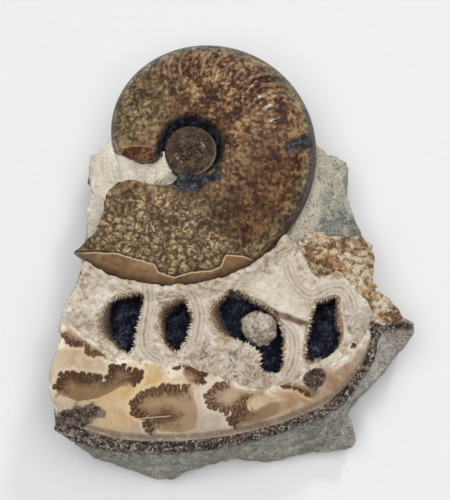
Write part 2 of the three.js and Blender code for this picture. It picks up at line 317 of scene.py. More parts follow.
def solid(low, high, step, plan, field, roughness):
    """Points and faces of a solid. plan(x, y) is worked out once on the level, field(plan, z) gives the
    distance, and roughness(points) is added to it near the surface."""
    low, step, (xs, ys, zs) = grid_of(low, high, step)
    x, y = np.meshgrid(xs, ys, indexing="ij")
    drawn = [v[:, :, None] for v in plan(x, y)]
    distances = np.broadcast_to(field(drawn, zs[None, None, :]), (len(xs), len(ys), len(zs)))
    values = np.array(distances, np.float32)
    near = np.argwhere(np.abs(values) < ROUGH_REACH)
    values[tuple(near.T)] += roughness(low + near * step)
    for axis, end in ((a, e) for a in range(3) for e in (0, -1)):
        values[tuple(end if a == axis else slice(None) for a in range(3))] = 1
    return surface_net(values, low, step)


def block(edge, top, z, lean, level):
    """Distance to a block on the sandstone, whose sides lean in below this level."""
    return np.maximum(np.maximum(edge + lean * (level - z), (z - top) * 0.9), FOOT - z)


def round_topped(edge, over, radius):
    """Distance to a slab with a rounded top edge, from the distances to its outline and over its top."""
    a, b = edge + radius, over + radius
    return np.where((a > 0) & (b > 0), np.hypot(a, b), np.maximum(a, b)) - radius


# ---- Blender objects ----

def in_metres(points):
    return (np.asarray(points, float) - (*MIDDLE, 0)) * MM


def in_plan(obj):
    """The points of a finished piece, in millimetres on the plan."""
    co = np.empty(len(obj.data.vertices) * 3, np.float32)
    obj.data.vertices.foreach_get("co", co)
    return co.reshape(-1, 3) / MM + (*MIDDLE, 0)


def set_points(obj, points):
    obj.data.vertices.foreach_set("co", in_metres(points).astype(np.float32).ravel())
    obj.data.update()


def mesh_object(name, points, faces, material, smooth=True):
    mesh = bpy.data.meshes.new(name)
    mesh.from_pydata(in_metres(points).tolist(), [], np.asarray(faces).tolist())
    mesh.materials.append(material)
    mesh.polygons.foreach_set("use_smooth", [smooth] * len(mesh.polygons))
    obj = bpy.data.objects.new(name, mesh)
    bpy.context.scene.collection.objects.link(obj)
    return obj


def store(obj, **values):
    """Keeps numbers, or colours, for each point of a piece."""
    for name, value in values.items():
        value = np.asarray(value, np.float32)
        if name in obj.data.attributes:
            obj.data.attributes.remove(obj.data.attributes[name])
        if value.ndim == 2:
            layer = obj.data.attributes.new(name, "FLOAT_COLOR", "POINT")
            with_alpha = np.column_stack([value, np.ones(len(value))]).astype(np.float32)
            layer.data.foreach_set("color", with_alpha.ravel())
        else:
            layer = obj.data.attributes.new(name, "FLOAT", "POINT")
            layer.data.foreach_set("value", value)


def linear(colour):
    """A colour given as red, green and blue from 0 to 255, as light."""
    c = np.array(colour, float) / 255
    return np.where(c <= 0.04045, c / 12.92, ((c + 0.055) / 1.055) ** 2.4)


def stained_and_lit(x, y, base, stains_and_light):
    """A colour for each place: the base, with soft-edged patches given as place, reach and colour; most are
    real tints, and some lighten a shaded face as painted light.
    """
    colour = np.tile(linear(base), (len(x), 1))
    for (sx, sy), reach, tone in stains_and_light:
        weight = np.exp(-(((x - sx) ** 2 + (y - sy) ** 2) / reach**2) ** 1.5)[:, None]
        colour = colour * (1 - weight) + linear(tone) * weight
    return colour


def finish(obj, slot, *nodes):
    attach(obj, "root")
    for node in nodes:
        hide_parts(node)


# ---- Node trees ----

class Value:
    """A number inside a node tree. Sums with it make the nodes."""

    def __init__(self, kit, socket):
        self.kit = kit
        self.socket = socket

    def __add__(self, other):
        return self.kit.math("ADD", self, other)

    def __sub__(self, other):
        return self.kit.math("SUBTRACT", self, other)

    def __rsub__(self, other):
        return self.kit.math("SUBTRACT", other, self)

    def __mul__(self, other):
        return self.kit.math("MULTIPLY", self, other)

    def __truediv__(self, other):
        return self.kit.math("DIVIDE", self, other)

    def __rtruediv__(self, other):
        return self.kit.math("DIVIDE", other, self)

    def __pow__(self, other):
        return self.kit.math("POWER", self, other)

    def __abs__(self):
        return self.kit.math("ABSOLUTE", self)

    __radd__ = __add__
    __rmul__ = __mul__


class Kit:
    """Adds nodes to a tree and joins them up."""

    def __init__(self, tree):
        self.tree = tree

    def plug(self, value, socket):
        if isinstance(value, Value):
            value = value.socket
        if isinstance(value, bpy.types.NodeSocket):
            self.tree.links.new(value, socket)
        else:
            socket.default_value = value

    def node(self, kind, inputs=None, **settings):
        node = self.tree.nodes.new(kind)
        for name, value in settings.items():
            setattr(node, name, value)
        for key, value in (inputs or {}).items():
            self.plug(value, node.inputs[key])
        return node

    def math(self, operation, *values):
        node = self.node("ShaderNodeMath", dict(enumerate(values)), operation=operation)
        return Value(self, node.outputs[0])

    def scaled(self, vector, factor):
        return self.node("ShaderNodeVectorMath", {0: vector, "Scale": factor}, operation="SCALE").outputs[0]

    def xyz(self, x, y, z):
        return self.node("ShaderNodeCombineXYZ", {0: x, 1: y, 2: z}).outputs[0]

    def ramp(self, value, low, high, bottom=0.0, top=1.0):
        node = self.node(
            "ShaderNodeMapRange",
            {"Value": value, "From Min": low, "From Max": high, "To Min": bottom, "To Max": top},
            interpolation_type="SMOOTHSTEP",
        )
        return Value(self, node.outputs[0])

    def colours(self, value, stops):
        """A colour ramp through stops of place and colour, the colours as 0 to 255."""
        node = self.node("ShaderNodeValToRGB", {0: value})
        while len(node.color_ramp.elements) < len(stops):
            node.color_ramp.elements.new(0.5)
        for element, (place, colour) in zip(node.color_ramp.elements, stops):
            element.position = place
            element.color = (*linear(colour), 1)
        return node.outputs[0]

    def mix(self, factor, a, b, blend="MIX"):
        node = self.node("ShaderNodeMix", data_type="RGBA", blend_type=blend)
        self.plug(factor, node.inputs[0])
        self.plug(a, node.inputs[6])
        self.plug(b, node.inputs[7])
        return node.outputs[2]

    def noise(self, place, size, detail=4.0, roughness=0.6, distortion=0.0):
        """Noise whose blotches are about size millimetres wide."""
        node = self.node(
            "ShaderNodeTexNoise",
            {
                "Vector": place, "Scale": 1.0 / size, "Detail": detail, "Roughness": roughness,
                "Distortion": distortion,
            },
        )
        return Value(self, node.outputs[0])

    def cells(self, place, size, feature):
        node = self.node("ShaderNodeTexVoronoi", {"Vector": place, "Scale": 1.0 / size}, feature=feature)
        return Value(self, node.outputs["Distance"])

    def kept(self, name):
        return Value(self, self.node("ShaderNodeAttribute", attribute_name=name).outputs["Fac"])

    def kept_colour(self, name):
        return self.node("ShaderNodeAttribute", attribute_name=name).outputs["Color"]

    def group(self, tree, **inputs):
        node = self.node("ShaderNodeGroup")
        node.node_tree = tree
        for name, value in inputs.items():
            self.plug(value, node.inputs[name.replace("_", " ")])
        return node.outputs


def tone(colour):
    return (*linear(colour), 1)


def shader_group(name, inputs, outputs):
    """A new shader node group; returns it, its kit, its input sockets and a way to set its outputs."""
    tree = bpy.data.node_groups.new(name, "ShaderNodeTree")
    for label, kind, value in inputs:
        tree.interface.new_socket(label, in_out="INPUT", socket_type=kind).default_value = value
    for label, kind in outputs:
        tree.interface.new_socket(label, in_out="OUTPUT", socket_type=kind)
    kit = Kit(tree)
    entry = kit.node("NodeGroupInput")
    leave = kit.node("NodeGroupOutput")
    return tree, kit, entry.outputs, leave.inputs


def mottle_group():
    """Blotches of three tones, with fine flecks."""
    tree, kit, entry, leave = shader_group(
        "Mottle",
        [
            ("Place", "NodeSocketVector", (0, 0, 0)),
            ("Size", "NodeSocketFloat", 3.0),
            ("Dark", "NodeSocketColor", (0, 0, 0, 1)),
            ("Middle", "NodeSocketColor", (0.2, 0.2, 0.2, 1)),
            ("Light", "NodeSocketColor", (0.8, 0.8, 0.8, 1)),
            ("Contrast", "NodeSocketFloat", 1.0),
            ("Balance", "NodeSocketFloat", 0.0),
        ],
        [("Colour", "NodeSocketColor")],
    )
    small = kit.scaled(entry["Place"], kit.math("DIVIDE", 1.0, entry["Size"]))
    coarse = kit.noise(small, 1.0, 6.0, 0.68, 0.4)
    broad = kit.noise(small, 4.0, 2.0, 0.5)
    value = (coarse - 0.5 + (broad - 0.5) * 0.5) * kit.math("MULTIPLY", entry["Contrast"], 2.4) + 0.5
    value = kit.math("ADD", value, entry["Balance"])
    lower = kit.mix(kit.ramp(value, 0.15, 0.5), entry["Dark"], entry["Middle"])
    colour = kit.mix(kit.ramp(value, 0.5, 0.9), lower, entry["Light"])
    kit.plug(colour, leave["Colour"])
    return tree


def grain_group():
    """Small crystals packed together: a different tint and height for each."""
    tree, kit, entry, leave = shader_group(
        "Crystal grain",
        [("Place", "NodeSocketVector", (0, 0, 0)), ("Size", "NodeSocketFloat", 0.6)],
        [("Tint", "NodeSocketFloat"), ("Height", "NodeSocketFloat"), ("Glint", "NodeSocketFloat")],
    )
    small = kit.scaled(entry["Place"], kit.math("DIVIDE", 1.0, entry["Size"]))
    cell = kit.node("ShaderNodeTexVoronoi", {"Vector": small, "Scale": 1.0})
    split = kit.node("ShaderNodeSeparateColor", {0: cell.outputs["Color"]})
    rough = kit.noise(small, 2.2, 4.0, 0.7)
    height = Value(kit, cell.outputs["Distance"]) * -0.8 + Value(kit, split.outputs[1]) * 0.5 + rough
    kit.plug(split.outputs[0], leave["Tint"])
    kit.plug(height, leave["Height"])
    kit.plug(kit.ramp(Value(kit, split.outputs[2]), 0.9, 0.94), leave["Glint"])
    return tree


GROUPS = {"mottle": mottle_group(), "grain": grain_group()}


class Finish(Kit):
    """A material: its kit of nodes, its place in millimetres and its shader."""

    def __init__(self, name, **sockets):
        self.material = bpy.data.materials.new(name)
        self.material.use_nodes = True
        super().__init__(self.material.node_tree)
        self.shader = self.tree.nodes["Principled BSDF"]
        self.place = self.scaled(self.node("ShaderNodeTexCoord").outputs["Object"], 1 / MM)
        for label, value in sockets.items():
            self.shader.inputs[label.replace("_", " ")].default_value = value

    def mottle(self, size, dark, middle, light, contrast=1.0, balance=0.0):
        """The colour of blotches in three tones, about size millimetres wide."""
        return self.group(
            GROUPS["mottle"], Place=self.place, Size=size, Dark=tone(dark), Middle=tone(middle),
            Light=tone(light), Contrast=contrast, Balance=balance,
        )["Colour"]

    def grain(self, size):
        """Tint, height and glint of crystals about size millimetres wide."""
        outputs = self.group(GROUPS["grain"], Place=self.place, Size=size)
        return {name: Value(self, outputs[name]) for name in ("Tint", "Height", "Glint")}

    def paint(self, colour, roughness):
        self.plug(colour, self.shader.inputs["Base Color"])
        self.plug(roughness, self.shader.inputs["Roughness"])

    def paint_glinting(self, colour, grain, dull, bright):
        """The colour, with some of the crystals shinier than the rest."""
        self.paint(colour, self.ramp(grain["Glint"], 0.0, 1.0, dull, bright))

    def bump(self, height, depth_mm, strength=1.0):
        inputs = {"Strength": strength, "Distance": depth_mm * MM, "Height": height}
        node = self.node("ShaderNodeBump", inputs)
        self.plug(node.outputs[0], self.shader.inputs["Normal"])
        return self.material


# ---- Finishes ----

def coil_shell():
    """Glossy brown shell, mottled, with a dark ring round the umbilicus and a cell-like suture net."""
    f = Finish("Mottled glossy shell", Coat_Weight=0.32, Coat_Roughness=0.13, Specular_IOR_Level=0.3)
    warm = f.mottle(1.7, (46, 25, 13), (106, 74, 46), (172, 140, 100), 1.3, -0.03)
    darker = f.mottle(1.5, (28, 14, 7), (62, 36, 19), (118, 84, 51), 1.2)
    # Painted shade: the shell turns to darker browns at its lower right and at its right.
    warm = f.mix(f.kept("deep"), warm, darker)
    olive = f.mottle(1.5, (54, 43, 30), (112, 94, 66), (168, 148, 110), 1.15, -0.02)
    colour = f.mix(f.kept("olive"), warm, olive)
    wander = f.node("ShaderNodeTexNoise", {"Vector": f.place, "Scale": 0.45, "Detail": 3.0}).outputs["Color"]
    shift = {0: wander, 1: (3.4, 3.4, 3.4), 2: f.place}
    shaken = f.node("ShaderNodeVectorMath", shift, operation="MULTIPLY_ADD").outputs[0]
    net = f.cells(shaken, 3.0, "DISTANCE_TO_EDGE")
    wobble = f.noise(f.place, 1.2, 4.0, 0.7)
    line = f.ramp(net + (wobble - 0.5) * 0.6, 0.0, 0.2, 1.0, 0.0)
    cream = f.mottle(1.5, (72, 54, 36), (134, 110, 78), (188, 164, 124), 1.2, 0.02)
    inked = line * f.ramp(f.noise(f.place, 6.0, 2.0), 0.35, 0.6, 0.45, 0.95)
    netted = f.mix(inked, cream, tone((40, 31, 24)))
    colour = f.mix(f.kept("net"), colour, netted)
    disc = f.mottle(0.7, (26, 19, 15), (54, 41, 33), (104, 88, 70), 1.4)
    colour = f.mix(f.kept("disc"), colour, f.mix(f.kept("worn"), disc, tone((92, 74, 54))))
    # Painted highlight: a pale crescent on the lower right edge of the inner whorls.
    colour = f.mix(f.kept("pale_rim") * 0.75, colour, tone((138, 130, 104)))
    chipped = f.kept("brown") + (wobble - 0.5) * 1.4
    glossy = f.mottle(1.6, (40, 22, 12), (78, 46, 28), (126, 88, 58), 1.0)
    colour = f.mix(f.ramp(chipped, 0.2, -0.4), colour, glossy)
    colour = f.mix(f.ramp(abs(chipped), 0.35, 0.1) * 0.6, colour, tone((164, 138, 104)))
    blue = f.mottle(0.6, (11, 11, 15), (27, 27, 34), (88, 88, 100), 1.4, -0.08)
    # The ring's blue-black covers the real dark ring, patch and druse, and also painted shade along the
    # coil's right-hand rim.
    colour = f.mix(f.kept("ring"), colour, blue)
    tan = f.mottle(4.0, (92, 62, 38), (126, 96, 66), (150, 122, 90), 0.8)
    wobbled = f.kept("remnant") + (f.noise(f.place, 2.5) - 0.5) * 0.8
    colour = f.mix(f.ramp(wobbled, 0.2, -0.1), colour, tan)
    colour = f.mix(f.ramp(abs(wobbled), 0.34, 0.12), colour, tone((196, 172, 136)))
    # Painted shade: a dark line just outside the raised edge of the shell remnant.
    shade = f.ramp(abs(wobbled - 0.75), 0.55, 0.1)
    colour = f.mix(shade * 0.75, colour, tone((44, 40, 36)))
    # Painted shade: a dark band along the coil's outer edge, where it rolls down.
    colour = f.mix(f.kept("keel"), colour, tone((66, 54, 42)))
    rib = f.kept("rib")
    # Painted highlight on the rib crests, and painted shade in the grooves between them.
    colour = f.mix(f.ramp(rib, 0.5, 1.3) * 0.45, colour, tone((160, 134, 116)))
    colour = f.mix(f.ramp(rib, 0.05, 0.2) * f.ramp(rib, 0.6, 0.35) * 0.4, colour, tone((44, 26, 17)))
    flecks = f.noise(f.place, 0.5, 3.0, 0.7)
    f.paint(colour, f.ramp(flecks, 0.3, 0.7, 0.35, 0.6))
    return f.bump(flecks, 0.16, 0.6)


def cream_calcite():
    """Cream calcite in small crystals, with whiter and browner patches."""
    f = Finish("Cream calcite crystals", Specular_IOR_Level=0.45)
    patches = f.mottle(3.2, (172, 150, 122), (222, 210, 186), (244, 238, 226), 1.0)
    grain = f.grain(0.7)
    colour = f.mix(f.ramp(grain["Tint"], 0.0, 1.0, 0.0, 0.45), patches, tone((176, 158, 130)))
    colour = f.mix(f.kept("shade"), colour, f.kept_colour("tint"))
    f.paint_glinting(colour, grain, 0.75, 0.25)
    return f.bump(grain["Height"], 0.7)


def whorl_calcite():
    """Ground calcite of the outer whorl: banded septa, brown druse and near-black chamber linings."""
    f = Finish("Banded chamber calcite", Specular_IOR_Level=0.5)
    patches = f.mottle(2.2, (172, 150, 126), (219, 206, 184), (242, 236, 225), 1.0)
    grain = f.grain(0.5)
    colour = f.mix(f.ramp(grain["Tint"], 0.0, 1.0, 0.0, 0.3), patches, tone((182, 164, 140)))
    crowded = f.ramp(f.noise(f.place, 5.0, 2.0), 0.42, 0.62, 0.15, 0.8)
    specks = f.ramp(f.noise(f.place, 0.8, 5.0, 0.8), 0.56, 0.68) * crowded
    colour = f.mix(specks, colour, tone((136, 116, 98)))
    wobble = (f.noise(f.place, 3.0, 5.0, 0.7) - 0.5) * 2.8
    along = abs(f.kept("septum") + wobble * 0.6)
    bands = f.colours(
        along / 4.0,
        [
            (0.0, (150, 134, 120)), (0.08, (184, 168, 152)), (0.18, (218, 205, 188)), (0.34, (204, 188, 170)),
            (0.42, (188, 170, 150)), (0.54, (222, 210, 192)), (0.8, (230, 220, 204)), (1.0, (214, 200, 178)),
        ],
    )
    colour = f.mix(f.ramp(along + wobble * 0.5, 3.6, 1.8, 0.0, 0.75), colour, bands)
    colour = f.mix(f.kept("looped") * 0.3, colour, tone((150, 134, 124)))
    loops = f.ramp(abs(f.noise(f.place, 4.2, 1.5, 0.5, 1.0) - 0.5), 0.024, 0.006)
    colour = f.mix(loops * f.kept("looped"), colour, tone((116, 98, 84)))
    brown = f.mottle(0.8, (60, 38, 24), (112, 82, 58), (168, 142, 112), 1.1)
    strip = f.ramp(f.kept("brown_septum") + wobble * 0.5, 1.8, 0.5)
    colour = f.mix(strip * 0.9, colour, brown)
    colour = f.mix(f.kept("shade"), colour, f.kept_colour("tint"))
    deep = f.kept("depth") + (f.noise(f.place, 1.0, 4.0, 0.75) - 0.5) * 0.4
    druse = f.colours(
        deep,
        [
            (0.0, (206, 188, 164)), (0.2, (172, 148, 122)), (0.4, (120, 96, 79)), (0.6, (66, 55, 52)),
            (0.85, (28, 28, 36)), (1.0, (22, 23, 32)),
        ],
    )
    speckled = f.mix(f.ramp(grain["Tint"], 0.3, 1.0, 0.0, 0.3), druse, tone((34, 30, 32)))
    colour = f.mix(f.ramp(deep, 0.02, 0.16), colour, speckled)
    f.paint_glinting(colour, grain, 0.7, 0.2)
    return f.bump(grain["Height"], 0.42)


def polished_flank():
    """Polished calcite with the brown, frilled lobes of the suture."""
    f = Finish("Polished suture calcite", Coat_Weight=0.2, Coat_Roughness=0.25, Specular_IOR_Level=0.35)
    cloud = f.noise(f.place, 5.0, 5.0, 0.62, 0.6)
    fine = f.noise(f.place, 0.6, 5.0, 0.75)
    pale = f.mix(f.ramp(cloud, 0.38, 0.68, 0.0, 0.5), f.kept_colour("tint"), tone((212, 197, 175)))
    pale = f.mix(f.ramp(cloud, 0.5, 0.25, 0.0, 0.4), pale, tone((176, 146, 108)))
    pale = f.mix(f.ramp(fine, 0.42, 0.75, 0.0, 0.5), pale, tone((146, 116, 84)))
    chalky = f.mottle(2.2, (172, 150, 126), (219, 206, 184), (242, 236, 225), 1.0)
    pale = f.mix(f.kept("faded"), pale, chalky)
    wobble = (f.noise(f.place, 0.8, 3.0, 0.6) - 0.5) * 0.5
    lobe = f.kept("lobe") + wobble
    strength = f.kept("strength")
    away = f.kept("away")
    fade = f.ramp(away + wobble * 4.0 + (cloud - 0.5) * 9.0, 0.4, 5.5) * f.ramp(strength, 1.0, 0.4, 0.65, 1.0)
    edge_tone = f.mix(strength, tone((140, 104, 68)), tone((66, 40, 23)))
    inside = f.mix(fade, edge_tone, f.mix(strength, pale, tone((154, 122, 86))))
    inside = f.mix(f.ramp(fine, 0.45, 0.75, 0.0, 0.45), inside, tone((178, 148, 110)))
    inside = f.mix(f.ramp(fine, 0.5, 0.25, 0.0, 0.6), inside, tone((58, 36, 22)))
    worn_away = f.ramp(away + (cloud - 0.5) * 8.0, 15.0, 7.0)
    colour = f.mix(f.ramp(lobe, 0.12, -0.12) * worn_away, pale, inside)
    cleft = f.ramp(f.kept("cleft") + wobble * 0.5, 0.42, 0.1)
    groove = cleft * f.ramp(lobe, 0.2, -0.1) * f.ramp(away, 6.0, 1.0)
    colour = f.mix(groove * 0.8, colour, tone((60, 36, 22)))
    line = f.ramp(abs(lobe + 0.1), 0.45, 0.1) * f.ramp(away, 4.5, 3.0)
    colour = f.mix(line * f.ramp(cloud, 0.3, 0.6, 0.95, 0.6), colour, tone((64, 38, 22)))
    glow = f.ramp(abs(lobe - 0.9), 0.7, 0.2) * f.ramp(away, 4.0, 2.0)
    colour = f.mix(glow * 0.3, colour, tone((226, 210, 182)))
    dark = f.mottle(0.7, (38, 28, 24), (78, 62, 54), (136, 118, 104), 1.3)
    colour = f.mix(f.kept("dark"), colour, dark)
    f.paint(colour, f.ramp(fine, 0.3, 0.7, 0.3, 0.55))
    return f.bump(fine, 0.1, 0.5)


def dark_shell():
    """Broken edge of the shell: dark brown, sparkling, with pale flecks."""
    f = Finish("Dark sparkling shell", Specular_IOR_Level=0.6)
    patches = f.mottle(1.4, (34, 27, 25), (74, 62, 56), (142, 128, 114), 1.2)
    grain = f.grain(0.55)
    pale = f.ramp(grain["Tint"], 0.86, 0.92)
    colour = f.mix(pale * 0.7, patches, tone((190, 178, 162)))
    f.paint_glinting(colour, grain, 0.6, 0.15)
    return f.bump(grain["Height"], 0.45)


def sandstone():
    """Green-grey sand grains, with dark flecks and clusters of pale buff ones."""
    f = Finish("Green grey sandstone", Specular_IOR_Level=0.3)
    patches = f.mottle(3.0, (108, 110, 102), (152, 148, 139), (196, 190, 174), 1.2)
    grain = f.grain(0.7)
    tint = grain["Tint"]
    colour = f.mix(f.kept("shade"), patches, f.kept_colour("tint"))
    colour = f.mix(f.ramp(tint, 0.0, 0.45, 0.55, 0.0), colour, tone((62, 67, 64)))
    colour = f.mix(f.ramp(tint, 0.7, 1.0, 0.0, 0.5), colour, tone((176, 172, 156)))
    clusters = f.ramp(f.noise(f.place, 5.0, 4.0, 0.65), 0.47, 0.62)
    buff = f.ramp(f.noise(f.place, 0.55, 4.0, 0.8) + clusters * 0.16, 0.6, 0.7)
    colour = f.mix(buff * f.ramp(clusters, 0.0, 1.0, 0.35, 0.95), colour, tone((206, 196, 172)))
    f.paint(colour, 0.9)
    return f.bump(grain["Height"], 0.7)


def honey_calcite():
    """Honey-brown calcite, coarse and splintery, with cream crystals."""
    f = Finish("Honey brown calcite", Specular_IOR_Level=0.5)
    patches = f.mottle(2.0, (88, 62, 40), (166, 140, 108), (226, 214, 192), 1.4, 0.05)
    grain = f.grain(0.9)
    colour = f.mix(f.ramp(grain["Tint"], 0.0, 1.0, 0.0, 0.4), patches, tone((150, 120, 84)))
    gold = f.ramp(f.noise(f.place, 5.0, 2.0), 0.5, 0.7)
    colour = f.mix(gold * 0.4, colour, tone((196, 150, 84)))
    f.paint_glinting(colour, grain, 0.6, 0.2)
    return f.bump(grain["Height"], 0.7)


def nodule_calcite():
    """Dull cream-grey calcite in tight wrinkles."""
    f = Finish("Wrinkled nodule calcite", Specular_IOR_Level=0.35)
    patches = f.mottle(1.2, (140, 125, 110), (186, 173, 156), (212, 203, 188), 1.0)
    grain = f.grain(0.4)
    f.paint(patches, 0.75)
    return f.bump(grain["Height"], 0.25)


def grey_shell():
    """Dull grey-brown shell."""
    f = Finish("Dull grey brown shell", Specular_IOR_Level=0.35)
    patches = f.mottle(3.0, (92, 78, 58), (134, 118, 90), (164, 150, 122), 0.9)
    grain = f.grain(0.5)
    f.paint(patches, 0.7)
    return f.bump(grain["Height"], 0.3)


def pale_crystals():
    """Pointed calcite crystals, cream at the rim and dark brown deeper down."""
    f = Finish("Pointed rim crystals", Specular_IOR_Level=0.55)
    height = Value(f, f.node("ShaderNodeSeparateXYZ", {0: f.place}).outputs[2])
    deep = (RIM - height) / 7.0 + (f.noise(f.place, 2.0) - 0.5) * 0.5
    colour = f.colours(
        deep,
        [
            (0.0, (232, 221, 200)), (0.15, (206, 188, 162)), (0.4, (134, 108, 88)), (0.7, (70, 58, 54)),
            (1.0, (36, 37, 48)),
        ],
    )
    f.paint(colour, 0.35)
    return f.bump(f.noise(f.place, 0.4), 0.05)


def dark_druse():
    """Near-black, blue-tinted chamber floor."""
    f = Finish("Near black druse", Specular_IOR_Level=0.6)
    patches = f.mottle(1.2, (26, 28, 37), (47, 50, 64), (104, 109, 128), 0.9, -0.05)
    grain = f.grain(0.5)
    f.paint_glinting(patches, grain, 0.55, 0.12)
    return f.bump(grain["Height"], 0.4)


def paper():
    """Plain white sheet."""
    f = Finish("Plain white sheet", Specular_IOR_Level=0.2)
    f.paint(tone((228, 228, 228)), 0.9)
    return f.bump(f.noise(f.place, 1.2), 0.01)


# ---- The inner coil ----

COIL_SIZES = {
    "Outline radius": SPIRAL_RADIUS,
    "Growth": SPIRAL_GROWTH,
    "Start": SPIRAL_START,
    "End": SPIRAL_END,
    "Thickness at start": 8.0,
    "Thickness at end": 13.6,
    "Rib height": 1.5,
    "Ribs per turn": 40.0,
}
COIL_COLUMNS = 600
COIL_ROWS = 140
# How far each broken end reaches past its end of the spiral, at shares of the way out from the umbilicus.
BROKEN_END = [
    (0, -0.5), (0.3, -0.45), (0.38, -0.06), (0.48, 0.18), (0.6, 0.15), (0.7, 0.04), (0.84, -0.03), (1, 0),
]
BROKEN_START = [(0, 0), (0.3, 0), (0.42, 0.15), (0.56, 0.24), (0.7, 0.2), (0.84, 0.07), (1, -0.05)]
REMNANT = [
    (-57.5, -3), (-50, -2.5), (-41, -3), (-33, -5.5), (-27.5, -7), (-26, -10), (-20, -12), (-13.5, -10),
    (-6.5, -9.5), (-3, -8), (-1, -3.5), (5, -4), (12, -6.5), (14, -20), (-60, -22),
]
NET = [(-58, -3), (-46, 20), (-26, 21), (-14, 16), (-4, 6), (4, -4), (2, -14), (-30, -20)]
BLACK_PATCH = [(20, 39), (22.5, 42), (29, 43), (33, 44), (33, 35), (30, 37.5), (26, 37.5), (22, 37)]
BROWN_PATCH = [(-39.5, 37.5), (-36, 38.5), (-30, 38.5), (-23.5, 36), (-20, 28), (-30, 22), (-44, 26)]
BLUE_DRUSE = [
    (-23, 28), (-22, 23.5), (-16, 21.5), (-10, 21.5), (-4.5, 24.5), (-2.5, 28.5), (-9, 28), (-17, 28),
]


def coil_tree(material):
    """The last whorl and the inner whorls, from the sizes of the spiral."""
    tree = bpy.data.node_groups.new("Spiral coil", "GeometryNodeTree")
    for label, value in COIL_SIZES.items():
        tree.interface.new_socket(label, in_out="INPUT", socket_type="NodeSocketFloat").default_value = value
    tree.interface.new_socket("Geometry", in_out="OUTPUT", socket_type="NodeSocketGeometry")
    kit = Kit(tree)
    sockets = kit.node("NodeGroupInput").outputs
    size = {label: Value(kit, socket) for label, socket in sockets.items() if label}

    def grid(columns, rows):
        sizes = {"Size X": 1.0, "Size Y": 1.0, "Vertices X": columns, "Vertices Y": rows}
        mesh = kit.node("GeometryNodeMeshGrid", sizes)
        split = kit.node("ShaderNodeSeparateXYZ", {0: kit.node("GeometryNodeInputPosition").outputs[0]})
        return mesh.outputs["Mesh"], Value(kit, split.outputs[0]) + 0.5, Value(kit, split.outputs[1]) + 0.5

    def kept(mesh, name, value):
        inputs = {"Geometry": mesh, "Name": name, "Value": value}
        return kit.node("GeometryNodeStoreNamedAttribute", inputs).outputs[0]

    def placed(mesh, x, y, z):
        point = kit.xyz((x - MIDDLE[0]) * MM, (y - MIDDLE[1]) * MM, z * MM)
        return kit.node("GeometryNodeSetPosition", {"Geometry": mesh, "Position": point}).outputs[0]

    def broken(share, reaches):
        curve = kit.node("ShaderNodeFloatCurve", {"Value": share})
        points = curve.mapping.curves[0].points
        points[0].location, points[1].location = [(x, turn + 0.5) for x, turn in (reaches[0], reaches[-1])]
        for x, turn in reaches[1:-1]:
            points.new(x, turn + 0.5)
        curve.mapping.update()
        return Value(kit, curve.outputs[0]) - 0.5

    def outline(angle):
        swelling = kit.math("EXPONENT", (angle - 2.8) * (2.8 - angle)) * SWELLING
        radius = size["Outline radius"] * kit.math("EXPONENT", size["Growth"] * angle) * (swelling + 1.0)
        return POLE[0] - radius * kit.math("COSINE", angle), POLE[1] + radius * kit.math("SINE", angle)

    # The last whorl: one column of the grid is one section, wrapped from the outline round and back.
    mesh, column, row = grid(COIL_COLUMNS, COIL_ROWS)
    cap = 6.0 / COIL_COLUMNS
    shrink = kit.math("MINIMUM", kit.math("MINIMUM", column / cap, (1.0 - column) / cap), 1.0)
    along = kit.math("MINIMUM", kit.math("MAXIMUM", (column - cap) / (1.0 - 2.0 * cap), 0.0), 1.0)
    end_x, end_y = outline(size["Start"] + along * (size["End"] - size["Start"]))
    reach = ((end_x - UMBILICUS[0]) ** 2.0 + (end_y - UMBILICUS[1]) ** 2.0) ** 0.5
    seam = (SEAM_RADIUS - 1.0) / reach
    circle = row * math.tau
    middle = (seam + 1.0) * 0.5
    share = middle + (1.0 - seam) * 0.5 * kit.math("COSINE", circle) * shrink
    ragged = kit.noise(kit.xyz(share * 60.0, along * 10.0, 0.0), 3.0, 5.0, 0.7) - 0.5
    near_end = kit.ramp(abs(along - 0.5), 0.485, 0.5)
    stop = size["End"] + broken(share, BROKEN_END)
    start = size["Start"] - broken(share, BROKEN_START)
    angle = start + along * (stop - start) + ragged * near_end * 0.1
    out_x, out_y = outline(angle)
    x = UMBILICUS[0] + (out_x - UMBILICUS[0]) * share
    y = UMBILICUS[1] + (out_y - UMBILICUS[1]) * share
    thickness = size["Thickness at start"] + along * (size["Thickness at end"] - size["Thickness at start"])
    outer = kit.math("MAXIMUM", (share - 0.3) / 0.7, 0.0) ** 2.6
    arch = kit.math("MAXIMUM", 1.0 - outer, 0.0) ** 0.62
    wall = kit.ramp(share * reach, SEAM_RADIUS - 0.6, SEAM_RADIUS + 4.2, 0.1, 1.0)
    bend = (share - 0.72) * (share - 0.72) * 3.0 + ragged * 0.02
    wave = kit.math("COSINE", (angle - bend) * size["Ribs per turn"]) * 0.5 + 0.5
    band = kit.ramp(share, 0.57, 0.72) * kit.ramp(share, 0.96, 0.87)
    run = kit.ramp(angle, 0.85, 1.3) * kit.ramp(angle, 3.2, 2.4)
    patchy = kit.ramp(kit.noise(kit.xyz(angle * 12.0, share * 20.0, 0.0), 2.2, 2.0), 0.3, 0.7, 0.35, 1.2)
    rib = size["Rib height"] * wave ** 2.2 * band * run * patchy
    front = arch * thickness * wall + rib
    back = arch * thickness * -0.8
    upper = kit.math("GREATER_THAN", kit.math("SINE", circle), 0.0)
    z = COIL_PLANE + (front * upper + back * (1.0 - upper)) * shrink
    for name, value in (("share", share), ("turn", angle), ("front", upper), ("rib", rib)):
        mesh = kept(mesh, name, value)
    whorl = kit.node("GeometryNodeFlipFaces", {0: placed(mesh, x, y, z)}).outputs[0]

